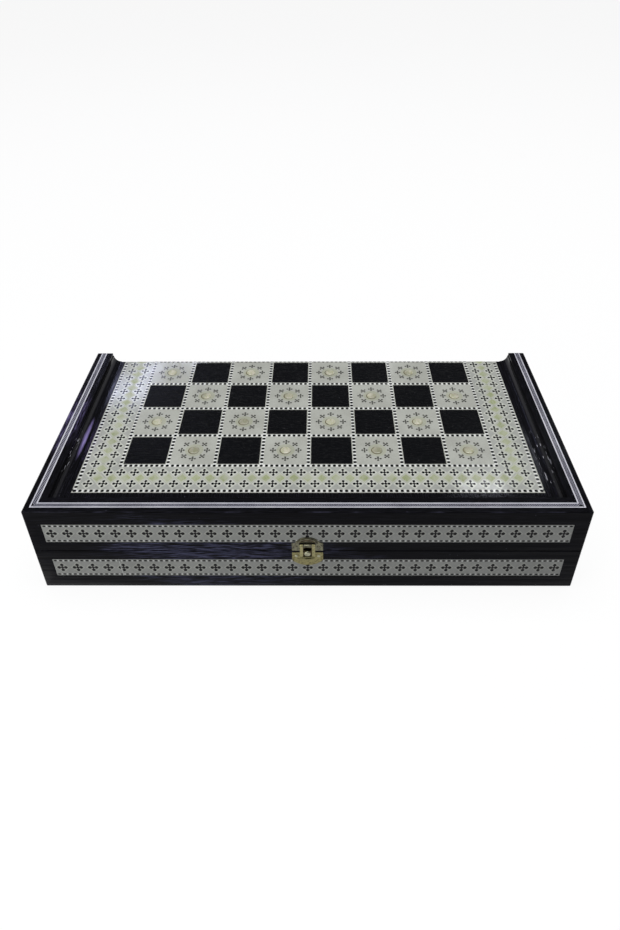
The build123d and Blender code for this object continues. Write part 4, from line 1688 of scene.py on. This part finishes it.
    def band(self, side: Side) -> None:
        """Lay one band: a row of crosses on outlined diamonds, and dotted edges.

        Args:
            side: the side that it is on.
        """
        bed, length, height = self.layout.band(self.half, side)
        count = self.front_crosses if side is Side.FRONT else self.side_crosses
        pitch = length / count
        crosses = points_between((np.arange(count) - (count - 1) / 2) * pitch, 0.0)
        outlines, diamonds, dark, white = Shape(), Shape(), Shape(), Shape()
        diamond = diamond_outline(self.band_diamond[0] * pitch, self.band_diamond[1] * height)
        self.pale(outlines, bed, diamond, crosses)
        self.pale(diamonds, bed, self.band_outline * diamond, crosses, layer=2)
        self.dark(dark, bed, self.cross_shape(self.band_cross, self.band_cross_dot), crosses)
        dots = round(length / self.band_dots)
        places = (np.arange(dots) + 0.5) * length / dots - length / 2
        along, across = self.band_dot
        rows = np.array([-1, 1]) * (height / 2 - self.band_dot_inset)
        self.dark(dark, bed, disc_outline(along, across, sides=10), points_between(places, rows))
        share, taller = self.band_spacer
        spacer = box_outline(share * (self.band_dots - along), taller * across)
        self.pale(white, bed, spacer, points_between((places[:-1] + places[1:]) / 2, rows), layer=2)
        name = f"{side.value}_band"
        self.finish(f"{name}_outlines", outlines, self.palette.halo)
        self.finish(f"{name}_diamonds", diamonds, self.palette.field)
        self.finish(f"{name}_slips", dark, self.palette.band_ebony, "dark_points")
        self.finish(f"{name}_spacers", white, self.palette.white)

    def band_joint(self) -> None:
        """Show the joint where the front band is pieced together."""
        bed, _, height = self.layout.band(self.half, Side.FRONT)
        place, width, slant = self.joint
        joint, outline = Shape(), box_outline(width, height, slant)
        self.pale(joint, bed, outline, points_between(place, 0.0), layer=6)
        self.finish("front_band_joint", joint, self.palette.white)


def piece_centres(node: str) -> np.ndarray:
    """Find the middles of the separate small solids in one node.

    The node's points are sorted along X and split wherever two neighbours lie further apart than
    a piece is from the next.

    Args:
        node: the node's name.

    Returns:
        The middle of each piece's box.
    """
    apart = 2.0 * MM
    mesh = frame["nodes"][node].data
    points = np.empty(3 * len(mesh.vertices))
    mesh.vertices.foreach_get("co", points)
    points = points.reshape(-1, 3)
    points = points[np.argsort(points[:, 0])]
    groups = np.split(points, np.flatnonzero(np.diff(points[:, 0]) > apart) + 1)
    return np.array([(group.min(axis=0) + group.max(axis=0)) / 2 for group in groups])


@dataclass
class Fittings:
    """The brass: the latch with its nails, and the two hinges with their screws.

    Attributes:
        layout: the board's sizes.
        palette: the finishes.
        plate_easing: width of the rounding on the latch's sheet brass.
        leaf_easing: width of the rounding on the hinge leaves.
        sheet: thickness of the sheet brass.
        ridge: how far the arched ridge stands out of its plate.
        ridge_edge: from the top of the plate to the ridge.
        ridge_width: of the ridge, at its middle.
        ridge_reach: half the width of the ridge.
        ridge_rise: how far the ridge rises from its ends to its middle.
        painted_shade_margin: bright metal left round the painted shade.
        ridge_lit: bright metal left along the top of the ridge.
        painted_shade_depth: thickness of the painted shade's pieces, and how far they stand out.
        hollow: width of the painted shadow in the hollow behind the hasp.
        hollow_top: how far it reaches above the middle of the seam.
        hollow_foot: how far it reaches below the middle of the seam.
        knob: radius of the knob that the hasp hangs over.
        knob_height: how far the knob stands out from its back.
        knob_rise: the knob's middle, above the middle of the seam.
        knob_round: the angle that its section runs through.
        knob_front: how far it stands out past the catch plate's tongue.
        nail_shank: radius of the nails' shanks.
        screw_head: radius of the screws' heads.
        screw_shank: radius of their shanks.
        slot: width of the slots in the screw heads.
        slot_depth: depth of those slots.
        slot_turn: how far the slots are turned.
        slot_overlap: how deep the parted faces of a head reach, as a share of the slot's depth.
    """

    layout: Layout
    palette: Palette
    plate_easing: float = 0.36 * MM
    leaf_easing: float = 0.15 * MM
    sheet: float = 0.8 * MM
    ridge: float = 1.0 * MM
    ridge_edge: float = 0.8 * MM
    ridge_width: float = 2.8 * MM
    ridge_reach: float = 9.6 * MM
    ridge_rise: float = 6.2 * MM
    painted_shade_margin: float = 0.35 * MM
    ridge_lit: float = 1.0 * MM
    painted_shade_depth: float = 0.05 * MM
    hollow: float = 7.6 * MM
    hollow_top: float = 6.6 * MM
    hollow_foot: float = 5.8 * MM
    knob: float = 3.0 * MM
    knob_height: float = 3.0 * MM
    knob_rise: float = 1.5 * MM
    knob_round: float = 0.72 * math.pi
    knob_front: float = 0.45 * MM
    nail_shank: float = 0.6 * MM
    screw_head: float = 2.3 * MM
    screw_shank: float = 1.2 * MM
    slot: float = 0.55 * MM
    slot_depth: float = 0.5 * MM
    slot_turn: float = 0.6
    slot_overlap: float = 1.02

    def build(self) -> None:
        """Build the latch and the hinges."""
        palette = self.palette
        old = palette.dark_brass
        eased("latch_upper_plate", self.plate_easing, palette.grey_brass, "brass")
        eased("latch_hasp", self.plate_easing, palette.hasp_brass, "brass")
        eased("latch_catch_plate", self.plate_easing, palette.plate_brass, "brass")
        for end in ("left", "right"):
            for half in Half:
                eased(f"hinge_{end}_{half.value}_leaf", self.leaf_easing, old, "brass")
        for pin in ("hinge_left_pin", "hinge_right_pin", "latch_pin"):
            dress(pin, old)
        self.catch_knob()
        # Painted shade: dark pieces on the ridge's face and in the hollow behind the hasp.
        self.ridge_painted_shade()
        for half in Half:
            self.hollow_painted_shade(half)
            self.nails(half)
            self.screws(half)

    def latch_bed(self, out: float, z: float = 0.0) -> Bed:
        """Return a bed that faces the front, a way out from the front walls and at a height."""
        x, y, up = np.eye(3)
        return Bed((self.layout.front - out) * y + z * up, x, up, -y)

    def catch_knob(self) -> None:
        """Turn the round knob: a dome whose section is part of an oval, drawn in at its back."""
        out = self.layout.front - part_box("latch_catch_plate")[0].y
        back = out - self.knob_height + self.knob_front
        bed = self.latch_bed(back, self.layout.height / 2 + self.knob_rise)
        angle = np.linspace(0, self.knob_round, 12)
        height = self.knob_height * (0.5 + 0.5 * np.cos(angle))
        section = np.stack((self.knob * np.sin(angle), height), axis=-1)
        shape = Shape()
        shape.turned(bed, np.concatenate((section, ((0.0, height[-1]),))), ALONE, sides=32)
        put(shape.mesh("latch_knob", ROUND), self.palette.knob_brass, "base", "brass")

    def ridge_painted_shade(self) -> None:
        """Lay painted shade, a dark brown piece, on the face of the arched ridge, with a bright
        edge left round it.
        """
        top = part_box("latch_upper_plate")[1].z - self.ridge_edge
        shoulder = top - self.ridge_rise + self.painted_shade_margin
        crowns = (top - self.ridge_lit, top - self.ridge_width + self.painted_shade_margin)
        reach = self.ridge_reach - 3 * self.painted_shade_margin
        outline = crescent_outline(reach, shoulder, crowns, steps=15)
        self.painted_shade("latch_ridge_painted_shade", outline, self.sheet + self.ridge, Half.LID)

    def hollow_painted_shade(self, half: Half) -> None:
        """Lay a painted shadow, a dark piece, on a plate, where the hasp's window shows it.

        Args:
            half: the half that the plate is on.
        """
        middle = self.layout.height / 2
        if half is Half.LID:
            low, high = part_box("latch_upper_plate")[0].z, middle + self.hollow_top
        else:
            low, high = middle - self.hollow_foot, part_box("latch_catch_plate")[1].z
        outline = box_outline(self.hollow, high - low - self.painted_shade_margin) + (0, (low + high) / 2)
        self.painted_shade(f"latch_{half.value}_hollow", outline, self.sheet, half)

    def painted_shade(self, name: str, outline: np.ndarray, out: float, half: Half) -> None:
        """Lay a thin dark piece of painted shade on the face of the latch.

        Args:
            name: the piece's name.
            outline: its shape.
            out: how far the face lies out from the front walls.
            half: the half that it is on.
        """
        shape = Shape()
        shape.slips(self.latch_bed(out), outline, ALONE, self.painted_shade_depth, self.painted_shade_depth)
        put(shape.mesh(name), self.palette.painted_shade, half.value, "brass")

    def nails(self, half: Half) -> None:
        """Turn the round-headed nails of one plate, each head a quarter of an oval in section.

        Args:
            half: the half that the plate is on.
        """
        node = f"latch_nails_{half.value}"
        low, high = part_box(node)
        face = self.layout.front - self.sheet
        angle = np.linspace(0, math.pi / 2, 7)
        radius = (high.z - low.z) / 2
        head = np.stack((radius * np.sin(angle), (face - low.y) * np.cos(angle)), axis=-1)
        tip = face - high.y
        shank = np.array(((self.nail_shank, 0.0), (self.nail_shank, tip), (0.0, tip)))
        shape = Shape()
        centres = piece_centres(node)[:, [0, 2]]
        shape.turned(self.latch_bed(self.sheet), np.concatenate((head, shank)), centres, sides=24)
        finish = self.palette.grey_brass if half is Half.LID else self.palette.knob_brass
        put(shape.mesh(f"{node}_turned", HOLLOW), finish, half.value, "brass", node)

    def screws(self, half: Half) -> None:
        """Turn the countersunk screws of one half, and part each head's face by a slot.

        Below the slot a screw is turned: a cone from the head down to the shank. Above it stand
        two flat pieces, each the part of a disc beyond half the slot from its middle.

        Args:
            half: the half that they are in.
        """
        node = f"hinge_screws_{half.value}"
        low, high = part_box(node)
        length = high.z - low.z
        centres = piece_centres(node)[:, :2]
        bed = Bed.level(low.z if half is Half.LID else high.z, -half.facing)
        rim = self.screw_head - self.slot_depth
        cone = np.array(((0.0, -self.slot_depth), (rim, -self.slot_depth),
                         (self.screw_shank, self.screw_shank - self.screw_head),
                         (self.screw_shank, -length), (0.0, -length)))
        shape = Shape()
        shape.turned(bed, cone, centres, sides=24)
        edge = math.asin(self.slot / 2 / rim)
        angle = np.linspace(edge, math.pi - edge, 13)
        part = rotate(rim * np.stack((np.cos(angle), np.sin(angle)), axis=-1), self.slot_turn)
        for outline in (part, -part):
            shape.slips(bed, outline, centres, 0.0, self.slot_overlap * self.slot_depth)
        mesh = shape.mesh(f"{node}_slotted", CREASE)
        put(mesh, self.palette.knob_brass, half.value, "brass", node)


# The studio


@dataclass(frozen=True)
class Lamp:
    """A soft box in the studio.

    Attributes:
        name: its name.
        place: where it stands.
        aim: the point that it faces.
        size: its width and height.
        power: its power, in watts.
        colour: its light.
    """

    name: str
    place: Triple
    aim: Triple
    size: tuple[float, float]
    power: float
    colour: Colour = (1.0, 1.0, 1.0)

    def build(self) -> None:
        """Stand the lamp in the scene."""
        data = bpy.data.lights.new(self.name, "AREA")
        data.shape = "RECTANGLE"
        data.size, data.size_y = self.size
        data.energy = self.power
        data.color = self.colour
        lamp = bpy.data.objects.new(self.name, data)
        bpy.context.scene.collection.objects.link(lamp)
        direction = np.array(self.aim) - np.array(self.place)
        lamp.location = self.place
        lamp.rotation_euler = Vector(direction).to_track_quat("-Z", "Y").to_euler()
        lamp.visible_camera = False


@dataclass
class Studio:
    """The floor, the lamps, the surroundings and the camera.

    Attributes:
        focal_pixels: the camera's focal length, in pixels of the picture.
        principal: where the camera's axis meets the picture, in pixels.
        picture: the picture's width and height, in pixels.
        place: where the camera stands.
        pitch: how far it looks down, in radians.
        yaw: how far it looks to the left, in radians.
        roll: how far it leans to the left, in radians.
        floor_reach: half the width of the floor.
        floor_gap: how far the floor lies under the board's lowest pieces of inlay.
        throw: how many times as far as the board the lamps that show in the polish are.
        polish: height of the polished plane that they show in.
    """

    focal_pixels: float = 687.87
    principal: tuple[float, float] = (317.09, 380.28)
    picture: tuple[int, int] = (620, 930)
    place: Triple = (0.01208, -0.55123, 0.53821)
    pitch: float = 0.61278
    yaw: float = 0.00635
    roll: float = -0.00434
    floor_reach: float = 30.0
    floor_gap: float = 0.15 * MM
    throw: float = 3.0
    polish: float = 88.0 * MM

    def build(self) -> None:
        """Build the studio."""
        self.camera()
        self.floor()
        self.surroundings()
        for lamp in self.lamps():
            lamp.build()
        bpy.context.scene.view_settings.view_transform = "Standard"

    def camera(self) -> None:
        """Stand the camera where the photograph was taken from."""
        data = bpy.data.cameras.new("camera")
        long_side = max(self.picture)
        data.lens = self.focal_pixels * data.sensor_width / long_side
        data.shift_x = (self.picture[0] / 2 - self.principal[0]) / long_side
        data.shift_y = (self.principal[1] - self.picture[1] / 2) / long_side
        data.clip_start, data.clip_end = 0.01, 100.0
        camera = bpy.data.objects.new("camera", data)
        bpy.context.scene.collection.objects.link(camera)
        camera.location = self.place
        aim = Euler((math.pi / 2 - self.pitch, 0.0, self.yaw)).to_matrix()
        camera.rotation_euler = (aim @ Matrix.Rotation(self.roll, 3, "Z")).to_euler()
        bpy.context.scene.camera = camera

    def floor(self) -> None:
        """Lay a white floor under the board."""
        shape = Shape()
        span = np.linspace(-self.floor_reach, self.floor_reach, 3)
        x, y = np.meshgrid(span, span)
        shape.grid(np.stack((x, y, np.full_like(x, -self.floor_gap)), axis=-1))
        mesh = shape.mesh("floor")
        mesh.materials.append(Floor("white_floor").material())
        floor = bpy.data.objects.new("floor", mesh)
        bpy.context.scene.collection.objects.link(floor)

    def surroundings(self) -> None:
        """Fill the room with dim light.

        The camera sees white all round. Gloss and glass see white walls under a dim ceiling.
        """
        world = bpy.data.worlds.new("room")
        world.use_nodes = True
        world.node_tree.nodes.clear()
        graph = Graph(world.node_tree)
        direction = graph.add("ShaderNodeTexCoord").outputs["Generated"]
        height = graph.add("ShaderNodeSeparateXYZ", {0: direction}).outputs[2]
        path = graph.add("ShaderNodeLightPath").outputs
        mirrored_rays = graph.math("MAXIMUM", path["Is Glossy Ray"], path["Is Transmission Ray"])
        walls = graph.math("MULTIPLY", mirrored_rays, graph.ramp(height, 0.2, 0.4, 1.0, 0.0))
        seen = graph.math("MAXIMUM", path["Is Camera Ray"], walls)
        colour = graph.mix(graph.ramp(height, 0.3, 0.5), (0.1, 0.103, 0.11), (0.08, 0.08, 0.1))
        colour = graph.mix(seen, colour, (1.0, 1.0, 1.0))
        light = graph.add("ShaderNodeBackground", {"Color": colour, "Strength": 1.0})
        graph.add("ShaderNodeOutputWorld", {"Surface": light.outputs[0]})
        bpy.context.scene.world = world

    def ceiling_lamp(
        self, name: str, corners: tuple[float, float, float, float], radiance: float, colour: Colour
    ) -> Lamp:
        """Return a lamp that shows in the polish over one patch of the board.

        The camera's mirror image under the polished plane looks up through the patch. The lamp is
        the patch carried on from there, a few times as far away and as large, and faces down.

        Args:
            name: its name.
            corners: the patch's ends on X and then on Y, in millimetres.
            radiance: how bright its face is.
            colour: its light.

        Returns:
            The lamp.
        """
        x0, x1, y0, y1 = (value * MM for value in corners)
        mirror = np.array((self.place[0], self.place[1], 2 * self.polish - self.place[2]))
        patch = np.array(((x0 + x1) / 2, (y0 + y1) / 2, self.polish))
        place = mirror + self.throw * (patch - mirror)
        size = (self.throw * (x1 - x0), self.throw * (y1 - y0))
        power = radiance * math.pi * size[0] * size[1]
        return Lamp(name, tuple(place), tuple(place - (0, 0, 1)), size, power, colour)

    def lamps(self) -> list[Lamp]:
        """Choose the lamps.

        Returns:
            The soft boxes, and the lamps that show in the polish.
        """
        blue, violet, white = (0.66, 0.7, 1.0), (0.55, 0.42, 1.0), (0.92, 0.95, 1.0)
        return [
            Lamp("top_box", (0.0, 0.1, 2.5), (0.0, 0.0, 0.06), (2.6, 1.6), 72.0),
            Lamp("front_box", (-0.7, -0.8, 0.42), (0.0, -0.13, 0.05), (0.4, 0.3), 3.6),
            self.ceiling_lamp("pane_left", (-226.0, -184.0, 50.0, 92.0), 8.0, blue),
            self.ceiling_lamp("pane_corner", (-199.0, -171.0, 92.0, 124.0), 8.0, blue),
            self.ceiling_lamp("pane_back", (-171.0, -112.0, 115.0, 127.0), 7.0, blue),
            self.ceiling_lamp("pane_front", (142.0, 172.0, -83.0, -75.0), 13.0, white),
            self.ceiling_lamp("pane_right", (171.0, 183.0, -88.0, -75.0), 18.0, white),
            self.ceiling_lamp("tube_left", (-229.0, -226.0, -38.0, 14.0), 16.0, violet),
            self.ceiling_lamp("tube_right", (229.0, 235.0, -68.0, 0.0), 14.0, white),
            self.ceiling_lamp("spot", (84.0, 92.0, 98.0, 126.0), 5.0, white),
        ]


def main() -> None:
    """Build the studio and the board in its finishes."""
    logging.basicConfig(level=logging.INFO, format="%(name)s %(message)s")
    layout = Layout()
    palette = Palette(layout)
    Studio().build()
    for half in Half:
        Tray(layout, palette, half).build()
        Marquetry(layout, palette, half).build()
    Fittings(layout, palette).build()


if __name__ == "__main__":
    main()
